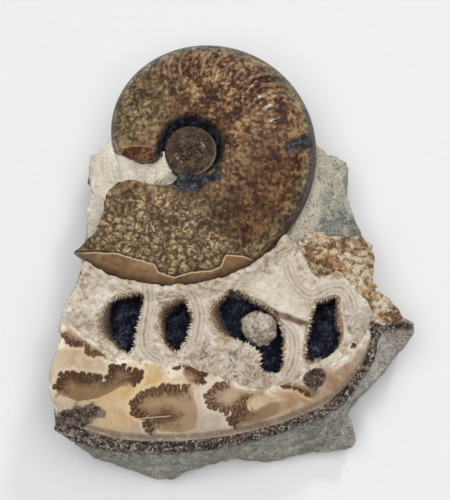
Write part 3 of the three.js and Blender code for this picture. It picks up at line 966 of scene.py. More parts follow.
    # The inner whorls: a disc with a spiral groove, from its middle out, down and back underneath.
    mesh, column, row = grid(180, 60)
    angle = column * math.tau
    away = kit.math("MAXIMUM", kit.math("MINIMUM", row / 0.8, (1.0 - row) / 0.2), 0.0001)
    radius = away * (SEAM_RADIUS + 0.6)
    x = UMBILICUS[0] - radius * kit.math("COSINE", angle)
    y = UMBILICUS[1] + radius * kit.math("SINE", angle)
    turns = kit.math("LOGARITHM", away, math.e) / (math.tau * SPIRAL_GROWTH) - column
    across = kit.math("FRACT", turns + 8.0)
    dome = kit.math("SINE", across * math.pi) ** 0.6
    lip = kit.ramp(away, 0.9, 1.0)
    top = COIL_PLANE + 2.6 + dome * 1.3 * away ** 0.5 - lip * 2.6
    under = kit.math("GREATER_THAN", row, 0.8)
    z = top * (1.0 - under) + (COIL_PLANE - 4.0) * under
    for name, value in (("share", away * 0.2), ("turn", angle), ("front", 1.0 - under), ("rib", 0.0)):
        mesh = kept(mesh, name, value)
    disc = placed(mesh, x, y, z)

    joined = kit.node("GeometryNodeJoinGeometry")
    tree.links.new(whorl, joined.inputs[0])
    tree.links.new(disc, joined.inputs[0])
    merged = kit.node("GeometryNodeMergeByDistance", {"Geometry": joined.outputs[0], "Distance": 0.00002})
    shaded = kit.node("GeometryNodeSetShadeSmooth", {"Geometry": merged.outputs[0]})
    real = kit.node("GeometryNodeRealizeInstances", {"Geometry": shaded.outputs[0]})
    finished = kit.node("GeometryNodeSetMaterial", {"Geometry": real.outputs[0], "Material": material})
    kit.node("NodeGroupOutput", {0: finished.outputs[0]})
    return tree


def made_by(tree, name, material, host=None, **sizes):
    """A plain mesh object with what a geometry tree makes."""
    mesh = host.data.copy() if host else bpy.data.meshes.new(name)
    obj = bpy.data.objects.new(name, mesh)
    bpy.context.scene.collection.objects.link(obj)
    modifier = obj.modifiers.new("Made", "NODES")
    modifier.node_group = tree
    ids = {item.name: item.identifier for item in tree.interface.items_tree if item.in_out == "INPUT"}
    for label, value in sizes.items():
        modifier[ids[label.replace("_", " ")]] = value
    evaluated = obj.evaluated_get(bpy.context.evaluated_depsgraph_get())
    made = bpy.data.meshes.new_from_object(evaluated)
    obj.modifiers.clear()
    obj.data = made
    made.materials.clear()
    made.materials.append(material)
    return obj


def kept_numbers(obj, name):
    layer = obj.data.attributes[name]
    values = np.empty(len(layer.data), np.float32)
    layer.data.foreach_get("value", values)
    return values


def inner_coil():
    material = coil_shell()
    coil = made_by(coil_tree(material), "coiled_shell", material)
    p = in_plan(coil)
    front = kept_numbers(coil, "front")
    share = kept_numbers(coil, "share")
    turn = kept_numbers(coil, "turn")
    x, y = traced(p, COIL_PLANE)
    remnant = np.where(front > 0.5, outline_distance(x, y, REMNANT), 9)
    net = ramp(outline_distance(x, y, NET), 5, -4) * front
    dx, dy = p[:, 0] - UMBILICUS[0], p[:, 1] - UMBILICUS[1]
    radius = np.hypot(dx, dy)
    ring = ramp(radius, 9.2, 9.9) * ramp(radius, 13.6, 11.6) * front
    ragged = 1.6 * rubble(p, 3.0, 60)
    patch = ramp(outline_distance(x, y, BLACK_PATCH) + ragged, 0.7, -0.7)
    blue = ramp(outline_distance(x, y, BLUE_DRUSE) + ragged, 0.9, -0.9)
    # Painted shade: the coil's right-hand rim, darkened with the dark ring's colour.
    rim = ramp(share, 0.925, 0.96) * ramp(turn, 2.75, 3.0) * ramp(turn, 4.2, 3.9)
    ring = np.max([ring, patch * 0.9, blue, rim * 0.75], axis=0)
    brown = np.where(turn < 1, outline_distance(x, y, BROWN_PATCH), 9)
    olive = np.clip(spot(x, y, -36, 52, 15) + spot(x, y, -30, -2, 24) + ramp(share, 0.86, 0.94), 0, 1)
    # Painted shade: darker at the coil's lower right and at its right.
    deep = np.exp(-((x - 2) ** 2 / 22**2 + (y - 12) ** 2 / 11**2)) + 0.7 * spot(x, y, 15, 32, 15)
    disc = share <= 0.2001
    # Painted shade along the coil's outer edge.
    keel = ramp(share, 0.955, 0.985) * 0.55 * front
    worn = np.where(disc, ramp(radius, 3, 8) * 0.3, 0)
    # Painted highlight on the lower right edge of the inner whorls.
    pale_rim = np.where(disc, ramp(radius, 8.6, 9.6) * ramp(dx - dy, -2, 7), 0)
    p[:, 2] += front * 0.35 * ramp(remnant, 0.1, -0.5) - 0.3 * patch
    rough = rubble(p, 2.2, 3) * (0.06 + 0.16 * net) * front * ramp(share, 1.0, 0.95)
    p[:, 2] += rough * np.where(disc, 1.5, 1)
    set_points(coil, p)
    store(
        coil, remnant=remnant, net=net * 0.9, ring=ring, olive=olive, keel=keel, brown=brown, disc=disc,
        worn=worn, pale_rim=pale_rim, deep=np.clip(deep, 0, 0.9),
    )
    finish(coil, "coil_shell", "inner_coil")


# ---- The rock pieces ----

def whorl_top(x, y):
    """Height of the outer whorl: a flank that rounds over to the venter, and a lower edge at the coil."""
    flank = 31 + 11 * (1 - np.exp(-line_distance(x, y, VENTER_LINE) / 9))
    coil = outline_distance(x, y, COIL_OUTLINE)
    return flank - (flank - 36.6) * ramp(coil, 9, 0.5)


# Places with curly suture lines, and how far they reach.
LOOPED = [(-9, -42, 6), (3, -45, 6), (-1, -50, 5), (10, -51, 5), (-57, -34, 6), (46, -31, 5)]
WHORL_STAINS = [
    ((15, -20), 9, (236, 228, 208)), ((24, -24), 6, (230, 221, 202)), ((-6, -28), 5, (186, 166, 142)),
    ((2, -44), 7, (200, 186, 168)), ((-3, -12), 6, (228, 220, 206)), ((-30, -14), 10, (216, 204, 186)),
    ((14, -6), 9, (222, 212, 196)), ((46, -31), 6, (176, 150, 122)), ((-56, -33), 6, (196, 172, 132)),
]


def outer_whorl():
    """The calcite body of the outer whorl, with its four open chambers."""
    chambers = [
        (smooth_line(chamber["core"], True, 3), smooth_line(chamber["mouth"], True, 3), chamber["floor"])
        for chamber in CHAMBERS.values()
    ]

    def plan(x, y):
        top = whorl_top(x, y)
        edge = outline_distance(x, y, smooth_line(WHORL_OUTLINE, True, 2))
        slab = ramp(outline_distance(x, y, FLANK_OUTLINE), 0, -1.2) * 0.7
        coil = outline_distance(x, y, COIL_OUTLINE)
        drawn = [edge, top - slab, coil]
        for core, mouth, floor in chambers:
            inner, outer = outline_distance(x, y, core), outline_distance(x, y, mouth)
            depth = np.clip(-outer, 0, None) / (np.clip(-outer, 0, None) + np.clip(inner, 0, None) + 0.01)
            drawn += [inner, outer, 41.5 - 7 * depth**1.3, np.full_like(x, floor)]
        return drawn

    def field(drawn, z):
        edge, top, coil = drawn[:3]
        body = block(edge, top, z, 0.05, 40)
        body = np.maximum(body, np.where(z > 27.5, 0.25 - coil, -9))
        for inner, outer, slope, floor in zip(*[iter(drawn[3:])] * 4):
            hole = np.maximum(inner - 0.35 - 0.05 * (38 - z), floor - z)
            bowl = np.maximum(outer, slope - z)
            body = np.maximum(body, -np.minimum(hole, bowl))
        return body

    def roughness(p):
        wall = ramp(p[:, 2], 34, 26)
        return rubble(p, 3.4, 1) * (0.45 + 0.6 * wall) + bumps(p, 1.3, 5) * 0.34

    points, faces = solid((-69, -75, 12), (56, 10, 45), (0.6, 0.6, 0.6), plan, field, roughness)
    body = mesh_object("chambered_whorl", points, faces, whorl_calcite())
    x, y = traced(points, WHORL_PLANE)
    septum = np.min([line_distance(x, y, smooth_line(line)) for line in SEPTA], axis=0)
    brown_septum = line_distance(x, y, smooth_line(BROWN_SEPTUM))
    px, py, pz = points.T
    mouth = np.min([outline_distance(px, py, m) for _, m, _ in chambers], axis=0)
    depth = ramp(mouth, 0.8, -0.2) * np.clip((RIM - pz) / 8, 0, 1)
    shade = ramp(outline_distance(x, y, PALE_PATCH), 0.5, -1) * 0.5
    shade = np.maximum(shade, ramp(pz, 36, 30) * ramp(mouth, 0.3, 1) * 0.55)
    tint = stained_and_lit(x, y, (168, 150, 124), WHORL_STAINS)
    looped = np.clip(sum(spot(x, y, *place) for place in LOOPED), 0, 0.85)
    store(
        body, septum=septum, brown_septum=brown_septum, depth=depth, shade=shade, tint=tint, looped=looped,
    )
    finish(body, "polished_flank", "outer_whorl")
    return body


# Frilled edge of each lobe, the rest of its outline, its inlet, the width of its frills and how dark it is.
LOBES = [
    (
        [
            (-60, -58), (-61, -53.5), (-59.5, -49.5), (-57, -48.5), (-53, -49.5), (-48, -50), (-43.5, -50),
            (-41, -46.5), (-38, -46), (-34.5, -47), (-30.5, -49.5), (-33, -52), (-36.5, -54.5),
        ],
        [(-42, -57.5), (-47, -59.5), (-54, -60.5)], [], 1.0, 1.0,
    ),
    (
        [
            (-11.5, -54.5), (-15.5, -53.5), (-20, -53.5), (-24, -53.5), (-26, -55), (-29.5, -55.5),
            (-32, -57), (-34.5, -59), (-34.5, -61.5), (-31.5, -64), (-28.5, -65.5), (-29.5, -67),
            (-27.5, -69.5), (-24.5, -71),
        ],
        [(-16, -71.5), (-10, -69.5), (-9.5, -62)], [(-37, -65.5), (-20.5, -64)], 0.95, 0.65,
    ),
    (
        [
            (3, -52.5), (0, -52), (-3, -52.5), (-5, -54), (-7, -55.5), (-7.5, -58), (-7, -60.5), (-4, -62),
            (-1.5, -62.5), (1.5, -62), (3.5, -60.5), (6, -59.5), (9, -59.5),
        ],
        [(13, -58), (17, -53.5), (15, -51.5), (9, -53.5)], [], 0.95, 0.5,
    ),
    (
        [(9, -60.5), (7, -61), (4, -62), (2, -63.5), (0, -64.5), (0.5, -66), (2.5, -67.5), (5, -68.5)],
        [(11, -67.5), (17, -65), (25, -61), (22, -57), (14, -58)], [], 0.9, 0.8,
    ),
    (
        [
            (17.5, -51), (18.5, -53), (20.5, -53.5), (22.5, -53.5), (24.5, -54), (26.5, -55.5),
            (28.5, -56.5), (31.5, -57),
        ],
        [(30, -53.5), (25, -51.5), (20, -50.5)], [], 0.8, 0.8,
    ),
    (
        [(-21.5, -46), (-19, -47), (-17, -46.5), (-15.5, -45), (-13, -44.5)],
        [(-13, -43.5), (-18, -44)], [], 0.5, 0.5,
    ),
    (
        [
            (-17, -45.5), (-14, -46.5), (-11, -48), (-7.5, -48.5), (-10, -50), (-8.5, -52), (-11, -52.5),
            (-11.5, -54),
        ],
        [(-15.5, -52.5), (-17.5, -48.5)], [], 0.5, 0.55,
    ),
    (
        [
            (-61, -33), (-58, -37), (-55, -38.5), (-51.5, -38.5), (-50.5, -41), (-48, -42), (-45, -42),
            (-41.5, -44.5),
        ],
        [(-43, -41), (-48, -37.5), (-52, -34.5), (-57, -31)], [], 0.6, 0.35,
    ),
    ([(42.5, -38), (44, -39), (45.5, -38.5), (47, -38.5)], [(47, -36), (43, -36)], [], 0.5, 0.35),
]
BLOB = [
    (27, -49), (30, -47), (33, -47), (34.5, -49.5), (33.5, -52.5), (31.5, -54), (31, -56), (29.5, -56.5),
    (28.5, -54), (26.5, -52),
]
DARK_CORNER = [
    (-65, -68), (-60, -62), (-55, -60.5), (-48, -60), (-43, -61.5), (-45, -64.5), (-49, -67), (-55, -69),
]
FLANK_STAINS = [
    ((-30, -50), 8, (194, 160, 88)), ((-36, -57), 7, (194, 158, 90)), ((-40, -63), 8, (198, 168, 116)),
    ((-25, -48.5), 6, (190, 158, 98)), ((-33, -65.5), 3.2, (204, 150, 90)),
    ((-50, -44.5), 9, (172, 150, 116)),
    ((-8, -66), 8, (184, 168, 152)), ((-8, -58), 5, (196, 182, 164)), ((-30, -70.5), 5, (180, 164, 146)),
    ((12, -50), 8, (204, 192, 174)), ((0, -47), 7, (210, 198, 180)), ((24, -58), 7, (164, 128, 96)),
    ((40, -47), 9, (148, 114, 86)), ((35, -53), 6, (150, 114, 84)), ((46, -41), 6, (150, 122, 96)),
    ((14, -55), 5, (180, 152, 118)), ((-16, -50), 5, (198, 172, 132)), ((10, -70), 6, (150, 124, 106)),
]


def frilled_lobes(x, y):
    """Distance to the lobes, with a row of rounded leaflets along each frilled edge; distance from that
    edge, long beside the plain edge; distance from the clefts between leaflets; how dark the lobe is."""
    lobe = np.full(len(x), 9.0)
    away = np.full(len(x), 30.0)
    cleft = np.full(len(x), 9.0)
    strength = np.zeros(len(x))
    rng = np.random.default_rng(5)
    for frilled, rest, inlet, width, darkness in LOBES:
        line = smooth_line(frilled, steps=5)
        run = np.concatenate([[0], np.cumsum(np.hypot(*np.diff(line, axis=0).T))])
        outline = np.array(line.tolist() + rest)
        after = np.roll(outline, -1, axis=0)
        turning = np.sign(np.sum(outline[:, 0] * after[:, 1] - after[:, 0] * outline[:, 1]))
        shape = outline_distance(x, y, outline) + width * 1.6
        at = width
        while at < run[-1]:
            tip, out = place_on(line, run, at, turning)
            radius = width * rng.uniform(0.7, 1.0)
            end = tip + out * width * rng.uniform(-0.6, 0.6)
            knob = line_distance(x, y, [tip - out * width * 2.5, end]) - radius
            shape = np.minimum(shape, knob)
            for turn in rng.uniform(-1.3, 1.3, 2):
                side = np.array([out[0] - out[1] * turn, out[1] + out[0] * turn]) * radius * 0.6
                leaflet = np.hypot(x - end[0] - side[0], y - end[1] - side[1]) - radius * 0.55
                shape = np.minimum(shape, leaflet)
            step = width * rng.uniform(1.7, 2.5)
            tip, out = place_on(line, run, at + step / 2, turning)
            bend = np.array([-out[1], out[0]]) * rng.uniform(-0.5, 0.5)
            depth = width * rng.choice([1.6, 2.2, 3.0, 4.5])
            groove = [tip + out * 0.5 * width, tip - out * depth * 0.5, tip - (out + bend) * depth]
            cleft = np.minimum(cleft, line_distance(x, y, groove))
            at += step
        if inlet:
            shape = np.maximum(shape, 0.35 - line_distance(x, y, inlet))
        nearer = shape < lobe
        strength = np.where(nearer, darkness, strength)
        lobe = np.minimum(lobe, shape)
        worn = 18 - 5 / width * line_distance(x, y, [line[-1]] + rest + [line[0]])
        edge = line_distance(x, y, line)
        if inlet:
            edge = np.minimum(edge, line_distance(x, y, inlet))
        away = np.where(nearer, np.maximum(edge, worn), away)
    return lobe, away, cleft, strength


def place_on(line, run, at, turning):
    """The point at a length along a line, and the direction square to it, outward."""
    point, before, after = (
        np.array([np.interp(at + shift, run, line[:, axis]) for axis in (0, 1)]) for shift in (0, -0.6, 0.6)
    )
    dx, dy = after - before
    return point, turning * np.array([dy, -dx]) / (math.hypot(dx, dy) + 1e-9)


def polished_face():
    """The polished skin of the flank, fine enough to carry the suture lines."""

    def plan(x, y):
        ragged = plan_bumps(x, y, 3.0, 63) * ramp(line_distance(x, y, VENTER_LINE), 1, 4)
        return outline_distance(x, y, smooth_line(FLANK_OUTLINE, True, 3)) + ragged, whorl_top(x, y)

    def field(drawn, z):
        edge, top = drawn
        return np.maximum(round_topped(edge, z - top, 0.7), top - 2.5 - z)

    def roughness(p):
        return rubble(p, 6.0, 9, 2) * 0.14

    points, faces = solid((-67, -74, 26), (55, -29, 44), (0.42, 0.42, 0.5), plan, field, roughness)
    face = mesh_object("sutured_flank", points, faces, polished_flank())
    x, y = traced(points, WHORL_PLANE)
    lobe, away, cleft, strength = frilled_lobes(x, y)
    dark = np.maximum(
        ramp(outline_distance(x, y, smooth_line(BLOB, True)), 0.5, -0.2),
        ramp(outline_distance(x, y, DARK_CORNER) + 2.2 * bumps(points, 2.0, 4), 0.8, -0.8),
    )
    rim = ramp(line_distance(x, y, VENTER_LINE), 1.6, 0.4) * 0.6
    tint = stained_and_lit(x, y, (195, 175, 144), FLANK_STAINS)
    inner_edge = line_distance(x, y, FLANK_OUTLINE[len(VENTER_LINE):-4])
    faded = ramp(inner_edge + 2.5 * rubble(points, 5.0, 62), 5.0, 1.0) * 0.85
    store(
        face, lobe=lobe, away=away, cleft=cleft, strength=strength, dark=np.maximum(dark, rim), tint=tint,
        faded=faded,
    )
    finish(face, "polished_flank")


def venter_shell():
    """The broken venter: a dark sparkling band under the flank, which runs on to the right-hand tip."""
    band = smooth_line([(-62.5, -66.5)] + BROKEN_VENTER_LINE[1:], steps=3)

    def plan(x, y):
        near = line_distance(x, y, band)
        inner = outline_distance(x, y, WHORL_OUTLINE)
        width = 1.5 - 0.8 * ramp(x, -56, -62) - 0.6 * ramp(x, 40, 50)
        between = outline_distance(x, y, VENTER_LINE + BROKEN_VENTER_LINE[-4:0:-1])
        edge = np.minimum(np.minimum(near - width, between - 0.4), np.maximum(inner - 0.6, near - 7))
        return edge, 29.3 + 0.9 * ramp(-inner, -3, 1) + 1.4 * ramp(x, 48, 60)

    def field(drawn, z):
        edge, top = drawn
        return np.maximum(round_topped(edge, z - top, 0.9) + 0.08 * (27 - z), 20 - z)

    def roughness(p):
        return rubble(p, 2.4, 2) * (0.6 - 0.4 * ramp(p[:, 0], -56, -61))

    points, faces = solid((-70, -78, 17), (70, -22, 37), (0.5, 0.5, 0.5), plan, field, roughness)
    shell = mesh_object("dark_venter_band", points, faces, dark_shell())
    finish(shell, "dark_shell", "broken_venter")


# Soft patches on the sandstone, most of them its own tints; the two at (60, -36) and (52, -48) are painted
# light on the lower right-hand face, which the lamps leave in shade.
SANDSTONE_TINTS_AND_LIGHT = [
    ((42, 22), 13, (188, 184, 168)), ((37, 36), 9, (208, 201, 182)), ((41, 9.5), 6.5, (104, 116, 110)),
    ((35, 9), 4.5, (120, 130, 122)), ((47, 6), 4.5, (88, 98, 92)), ((60, -36), 12, (196, 184, 176)),
    ((52, -48), 9, (180, 170, 164)), ((62, -29), 4, (150, 134, 118)), ((-46, -74), 6, (142, 136, 122)),
    ((30, -66), 9, (140, 141, 130)), ((0, -74), 12, (150, 147, 138)),
]


def sandstone_matrix():
    """The green sandstone: a plate under everything, a lip below the venter and a shoulder at the right."""

    def plan(x, y):
        lip = outline_distance(x, y, smooth_line(LIP_OUTLINE, True, 2))
        shoulder = outline_distance(x, y, smooth_line(SHOULDER_OUTLINE, True, 2))
        base = outline_distance(x, y, PLATE_OUTLINE)
        steepness = 2.4 - 1.65 * ramp(x, 30, 52)
        lip_top = np.maximum(3, 28.6 - steepness * line_distance(x, y, BROKEN_VENTER_LINE))
        shoulder_top = 30 - 0.2 * np.clip(x - 30, 0, None) - 0.03 * y
        honey = outline_distance(x, y, smooth_line(HONEY_OUTLINE, True, 2))
        seat = 20 + 7 * plan_bumps(x, y, 7.0, 71)
        return lip, lip_top, shoulder, shoulder_top, base, honey, seat

    def field(drawn, z):
        lip, lip_top, shoulder, shoulder_top, base, honey, seat = drawn
        raised = np.maximum(lip + 0.06 * (12 - z), (z - lip_top) * 0.6)
        rest = np.maximum(shoulder + 0.04 * (z - 10), (z - shoulder_top) * 0.95)
        plate = np.maximum(base + 0.25 * np.abs(z - 7) - 1.0, z - BENCH)
        under_honey = np.maximum(honey + 0.04 * (14 - z), z - seat)
        return np.maximum(np.min([raised, rest, plate, under_honey], axis=0), -z)

    def roughness(p):
        away = ramp(p[:, 2], 0.2, 2.5)
        return (rubble(p, 7.0, 6) * 1.0 + rubble(p, 1.8, 8, 2) * 0.34) * away

    points, faces = solid((-70, -86, -1.4), (72, 84, 34), (0.7, 0.7, 0.7), plan, field, roughness)
    points[:, 2] = np.maximum(points[:, 2], 0)
    rock = mesh_object("green_sandstone", points, faces, sandstone())
    x, y = points[:, 0], points[:, 1]
    tint = stained_and_lit(x, y, (162, 160, 151), SANDSTONE_TINTS_AND_LIGHT)
    # A cream crust follows the coil and the honey-brown calcite.
    width = 2.5 + 5 * ramp(y, 34, 4)
    ragged = 1.5 * rubble(points, 4.0, 61)
    crust = ramp(outline_distance(x, y, COIL_OUTLINE) + ragged, width + 1, width - 1)
    honey_crust = ramp(outline_distance(x, y, HONEY_OUTLINE) + ragged, 3.2, 1.8)
    crust = np.maximum(crust, honey_crust) * ramp(y, -20, -12)
    top = ramp(points[:, 2], 12, 18)[:, None] * crust[:, None]
    tint = tint * (1 - top) + linear((212, 202, 182)) * top
    store(rock, tint=tint, shade=0.6 + 0.3 * top[:, 0])
    finish(rock, "sandstone", "sandstone_matrix")
    return rock


def calcite_bed():
    """The cream calcite under the coil, which fills the gap between the coil's two broken ends."""

    def plan(x, y):
        edge = outline_distance(x, y, smooth_line(BED_OUTLINE, True, 2))
        away = np.hypot(x - UMBILICUS[0], y - UMBILICUS[1])
        top = 40.5 - 0.3 * np.clip(away - 9, 0, None)
        coil = outline_distance(x, y, COIL_OUTLINE)
        return edge, np.minimum(top, 36 - 3.5 * ramp(-coil, 0, 3))

    def field(drawn, z):
        edge, top = drawn
        return block(edge, top, z, 0.06, 24)

    def roughness(p):
        streaks = p * (1, 0.45, 1)
        return rubble(streaks, 5.0, 12) * 1.1 + rubble(p, 1.6, 13, 2) * 0.45

    points, faces = solid((-59, -22, 12), (31, 76, 41), (0.6, 0.6, 0.6), plan, field, roughness)
    bed = mesh_object("cream_calcite_bed", points, faces, cream_calcite())
    side = (ramp(points[:, 2] + 3 * rubble(points, 6.0, 14), 34, 27) * 0.8)[:, None]
    tint = linear((246, 238, 220)) * (1 - side) + linear((182, 172, 152)) * side
    store(bed, shade=np.full(len(points), 0.65), tint=tint)
    finish(bed, "cream_calcite", "calcite_bed")


def honey_patch():
    """The coarse honey-brown calcite at the right of the whorl."""

    def plan(x, y):
        edge = outline_distance(x, y, smooth_line(HONEY_OUTLINE, True, 2))
        return edge, 40.2 - 0.26 * np.clip(x - 24, 0, None) + 0.05 * y

    def field(drawn, z):
        edge, top = drawn
        return block(edge, top, z, 0.08, 34)

    def roughness(p):
        ridges = 1 - np.abs(bumps(p, 2.6, 20)) * 2
        return rubble(p, 4.5, 21) * 0.9 - ridges * 0.45 + bumps(p, 1.1, 22) * 0.3

    points, faces = solid((20, -33, 12), (70, 8, 45), (0.5, 0.5, 0.5), plan, field, roughness)
    patch = mesh_object("honey_calcite_patch", points, faces, honey_calcite())
    finish(patch, "honey_calcite", "honey_calcite")
    return patch


def fragment(name, outline, top, low, high, node):
    """A broken piece of shell at the left edge."""

    def plan(x, y):
        return outline_distance(x, y, smooth_line(outline, True, 3)), top(x, y)

    def field(drawn, z):
        edge, height = drawn
        body = round_topped(edge, z - height, 1.2) + 0.24 * np.clip(height - z, 0, None)
        return np.maximum(body, FOOT - z)

    def roughness(p):
        return rubble(p, 5.0, 31) * 1.1

    points, faces = solid(low, high, (0.5, 0.5, 0.5), plan, field, roughness)
    finish(mesh_object(name, points, faces, grey_shell()), "grey_shell", node)


def nodule():
    """The wrinkled calcite ball that grew in the third chamber, on its stalk."""
    x0, y0, z0 = NODULE_CENTRE

    def plan(x, y):
        return x - x0, y - y0

    def field(drawn, z):
        dx, dy = drawn
        ball = np.sqrt(dx**2 + dy**2 + (z - z0) ** 2) - NODULE_RADIUS
        stalk = np.maximum(np.hypot(dx, dy) - 3.6, np.maximum(z - z0, 22.6 - z))
        return np.minimum(ball, stalk)

    def roughness(p):
        folds = np.abs(bumps(p, 3.0, 40)) * 2 + np.abs(bumps(p, 1.5, 41))
        return 0.6 - folds * 0.62 + bumps(p, 7.0, 42) * 1.3

    points, faces = solid((2, -40, 21), (20, -22, 44), (0.3, 0.3, 0.35), plan, field, roughness)
    finish(mesh_object("wrinkled_nodule", points, faces, nodule_calcite()), "cream_calcite", "calcite_nodule")


PER_SQUARE_METRE = 1000000.0  # square millimetres in one


def scatter_tree():
    """Pointed crystals all over a surface, as thick as its own growth number says."""
    tree = bpy.data.node_groups.new("Crystal growth", "GeometryNodeTree")
    add = tree.interface.new_socket
    add("Geometry", in_out="INPUT", socket_type="NodeSocketGeometry")
    for label, kind, value in (
        ("Per square millimetre", "NodeSocketFloat", 1.0), ("Radius", "NodeSocketFloat", 0.3),
        ("Length", "NodeSocketFloat", 1.0), ("Lean", "NodeSocketFloat", 0.5), ("Sides", "NodeSocketInt", 5),
        ("Seed", "NodeSocketInt", 0),
    ):
        add(label, in_out="INPUT", socket_type=kind).default_value = value
    add("Geometry", in_out="OUTPUT", socket_type="NodeSocketGeometry")
    kit = Kit(tree)
    entry = kit.node("NodeGroupInput").outputs
    named = kit.node("GeometryNodeInputNamedAttribute", {"Name": "growth"}, data_type="FLOAT")
    growth = Value(kit, named.outputs["Attribute"])
    density = Value(kit, entry["Per square millimetre"]) * growth * PER_SQUARE_METRE
    points = kit.node(
        "GeometryNodeDistributePointsOnFaces",
        {"Mesh": entry["Geometry"], "Density": density, "Seed": entry["Seed"]},
    )
    crystal = kit.node(
        "GeometryNodeMeshCone",
        {
            "Vertices": entry["Sides"], "Radius Top": Value(kit, entry["Radius"]) * 0.12 * MM,
            "Radius Bottom": Value(kit, entry["Radius"]) * MM, "Depth": Value(kit, entry["Length"]) * MM,
        },
    )

    def random_vector(seed):
        lean = Value(kit, entry["Lean"])
        high = kit.xyz(lean, lean, 3.14)
        low = kit.scaled(high, -1.0)
        node = kit.node("FunctionNodeRandomValue", {0: low, 1: high, "Seed": seed}, data_type="FLOAT_VECTOR")
        return node.outputs[0]

    rotated = kit.node(
        "FunctionNodeRotateRotation",
        {"Rotation": points.outputs["Rotation"], "Rotate By": random_vector(entry["Seed"])},
        rotation_space="LOCAL",
    )
    size = kit.node("FunctionNodeRandomValue", {2: 0.5, 3: 1.4, "Seed": entry["Seed"]}, data_type="FLOAT")
    placed = kit.node(
        "GeometryNodeInstanceOnPoints",
        {
            "Points": points.outputs["Points"], "Instance": crystal.outputs["Mesh"],
            "Rotation": rotated.outputs[0], "Scale": size.outputs[1],
        },
    )
    real = kit.node("GeometryNodeRealizeInstances", {"Geometry": placed.outputs[0]})
    flat = kit.node("GeometryNodeSetShadeSmooth", {"Geometry": real.outputs[0], "Shade Smooth": False})
    kit.node("NodeGroupOutput", {0: flat.outputs[0]})
    return tree


def chamber_linings(body, tree):
    """Pointed crystals on the rims and walls of the chambers, and dark druse on their floors."""
    px, py, pz = in_plan(body).T
    mouth = np.min([outline_distance(px, py, c["mouth"]) for c in CHAMBERS.values()], axis=0)
    cores = [smooth_line(chamber["core"], True, 3) for chamber in CHAMBERS.values()]
    core = np.min([outline_distance(px, py, line) for line in cores], axis=0)
    lining = ramp(mouth, 0.4, -0.4) * ramp(pz, 23.0, 26.0)
    slope = lining * ramp(pz, RIM, 40.4)
    teeth = ramp(np.abs(core), 1.3, 0.5) * lining * ramp(pz, 35.0, 38.0)
    material = pale_crystals()
    for name, growth, per_area, radius, length, seed in (
        ("slope_druse", slope, 2.6, 0.24, 0.4, 3), ("rim_crystals", teeth, 1.2, 0.3, 1.0, 4),
    ):
        store(body, growth=growth)
        crystals = made_by(
            tree, name, material, body,
            Per_square_millimetre=per_area, Radius=radius, Length=length, Lean=0.5, Seed=seed,
        )
        finish(crystals, "cream_calcite")
    floor_material = dark_druse()
    for seed, (name, chamber) in enumerate(CHAMBERS.items()):
        druse_floor(name, chamber, tree, floor_material, seed)


def druse_floor(name, chamber, tree, material, seed):
    """The dark, sparkling floor of one chamber."""
    mouth = smooth_line(chamber["core"], True, 3)
    low, high = mouth.min(0), mouth.max(0)
    floor = chamber["floor"]

    def plan(x, y):
        return (outline_distance(x, y, mouth),)

    def field(drawn, z):
        return np.maximum(drawn[0] - 0.6, np.maximum(z - floor - 1.0, floor - 2.5 - z))

    def roughness(p):
        return rubble(p, 3.0, 50 + seed) * 0.8

    points, faces = solid(
        (low[0] - 2, low[1] - 2, floor - 5), (high[0] + 2, high[1] + 2, floor + 4), (0.6, 0.6, 0.6),
        plan, field, roughness,
    )
    base = mesh_object(f"druse_floor_{name}", points, faces, material)
    store(base, growth=ramp(points[:, 2], floor, floor + 0.5))
    crystals = made_by(
        tree, f"druse_points_{name}", material, base,
        Per_square_millimetre=1.8, Radius=0.4, Length=0.8, Lean=0.8, Seed=seed,
    )
    finish(base, "dark_druse", f"chamber_druse_{name}")
    finish(crystals, "dark_druse")


# ---- The scene ----

SOFTBOXES = ((0.3, 0.2, 4.2), (-0.35, 0.1, 4.2), (0.3, -0.35, 4.3), (-0.3, -0.4, 5.0))  # place and power
SOFTBOX_HEIGHT = 1.4
SOFTBOX_SIZE = 0.7
CAMERA_TARGET = (-0.00275, 0.00156, 0.030)
CAMERA_DISTANCE = 0.620
CAMERA_ELEVATION = math.radians(76)


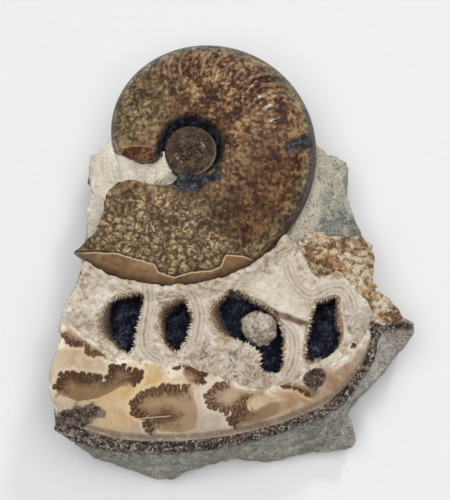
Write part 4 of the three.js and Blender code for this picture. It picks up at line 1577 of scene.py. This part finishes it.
def area_light(name, place, size, power, colour, shine=True):
    lamp = bpy.data.lights.new(name, "AREA")
    lamp.shape = "DISK"
    lamp.size = size
    lamp.energy = power
    lamp.color = colour
    obj = bpy.data.objects.new(name, lamp)
    obj.location = place
    obj.rotation_euler = (-Vector(place)).to_track_quat("-Z", "Y").to_euler()
    obj.visible_glossy = shine
    bpy.context.scene.collection.objects.link(obj)


def studio():
    scene = bpy.context.scene
    scene.view_settings.view_transform = "Standard"
    world = bpy.data.worlds.new("Soft room")
    scene.world = world
    world.use_nodes = True
    world.node_tree.nodes["Background"].inputs[0].default_value = (0.96, 0.97, 1.0, 1)
    world.node_tree.nodes["Background"].inputs[1].default_value = 0.25
    area_light("Window", (0.42, 0.82, 1.0), 0.2, 3.6, (1.0, 0.985, 0.96))
    for x, y, power in SOFTBOXES:
        area_light("Softbox", (x, y, SOFTBOX_HEIGHT), SOFTBOX_SIZE, power, (0.985, 0.985, 1.0), shine=False)
    bpy.ops.mesh.primitive_plane_add(size=4, location=(0, 0, -0.0002))
    floor = bpy.context.object
    floor.name = "table_sheet"
    floor.data.materials.append(paper())

    camera = bpy.data.objects.new("Camera", bpy.data.cameras.new("Camera"))
    away = Vector((0, -math.cos(CAMERA_ELEVATION), math.sin(CAMERA_ELEVATION)))
    camera.location = Vector(CAMERA_TARGET) + CAMERA_DISTANCE * away
    camera.rotation_euler = (math.pi / 2 - CAMERA_ELEVATION, 0, 0)
    camera.data.sensor_width = 36
    camera.data.lens = 120.65
    scene.collection.objects.link(camera)
    scene.camera = camera


studio()
inner_coil()
whorl_body = outer_whorl()
polished_face()
venter_shell()
sandstone_matrix()
calcite_bed()
honey_patch()
fragment(
    "lower_shell_fragment", LOWER_FRAGMENT, lambda x, y: 24 + 0.4 * (x + 53), (-62, -26, 12), (-44, 0, 30),
    "shell_fragment_lower",
)
fragment(
    "upper_shell_fragment", UPPER_FRAGMENT, lambda x, y: 26 + 0.5 * (x + 50), (-56, 22, 12), (-43, 41, 32),
    "shell_fragment_upper",
)
nodule()
growth_tree = scatter_tree()
chamber_linings(whorl_body, growth_tree)
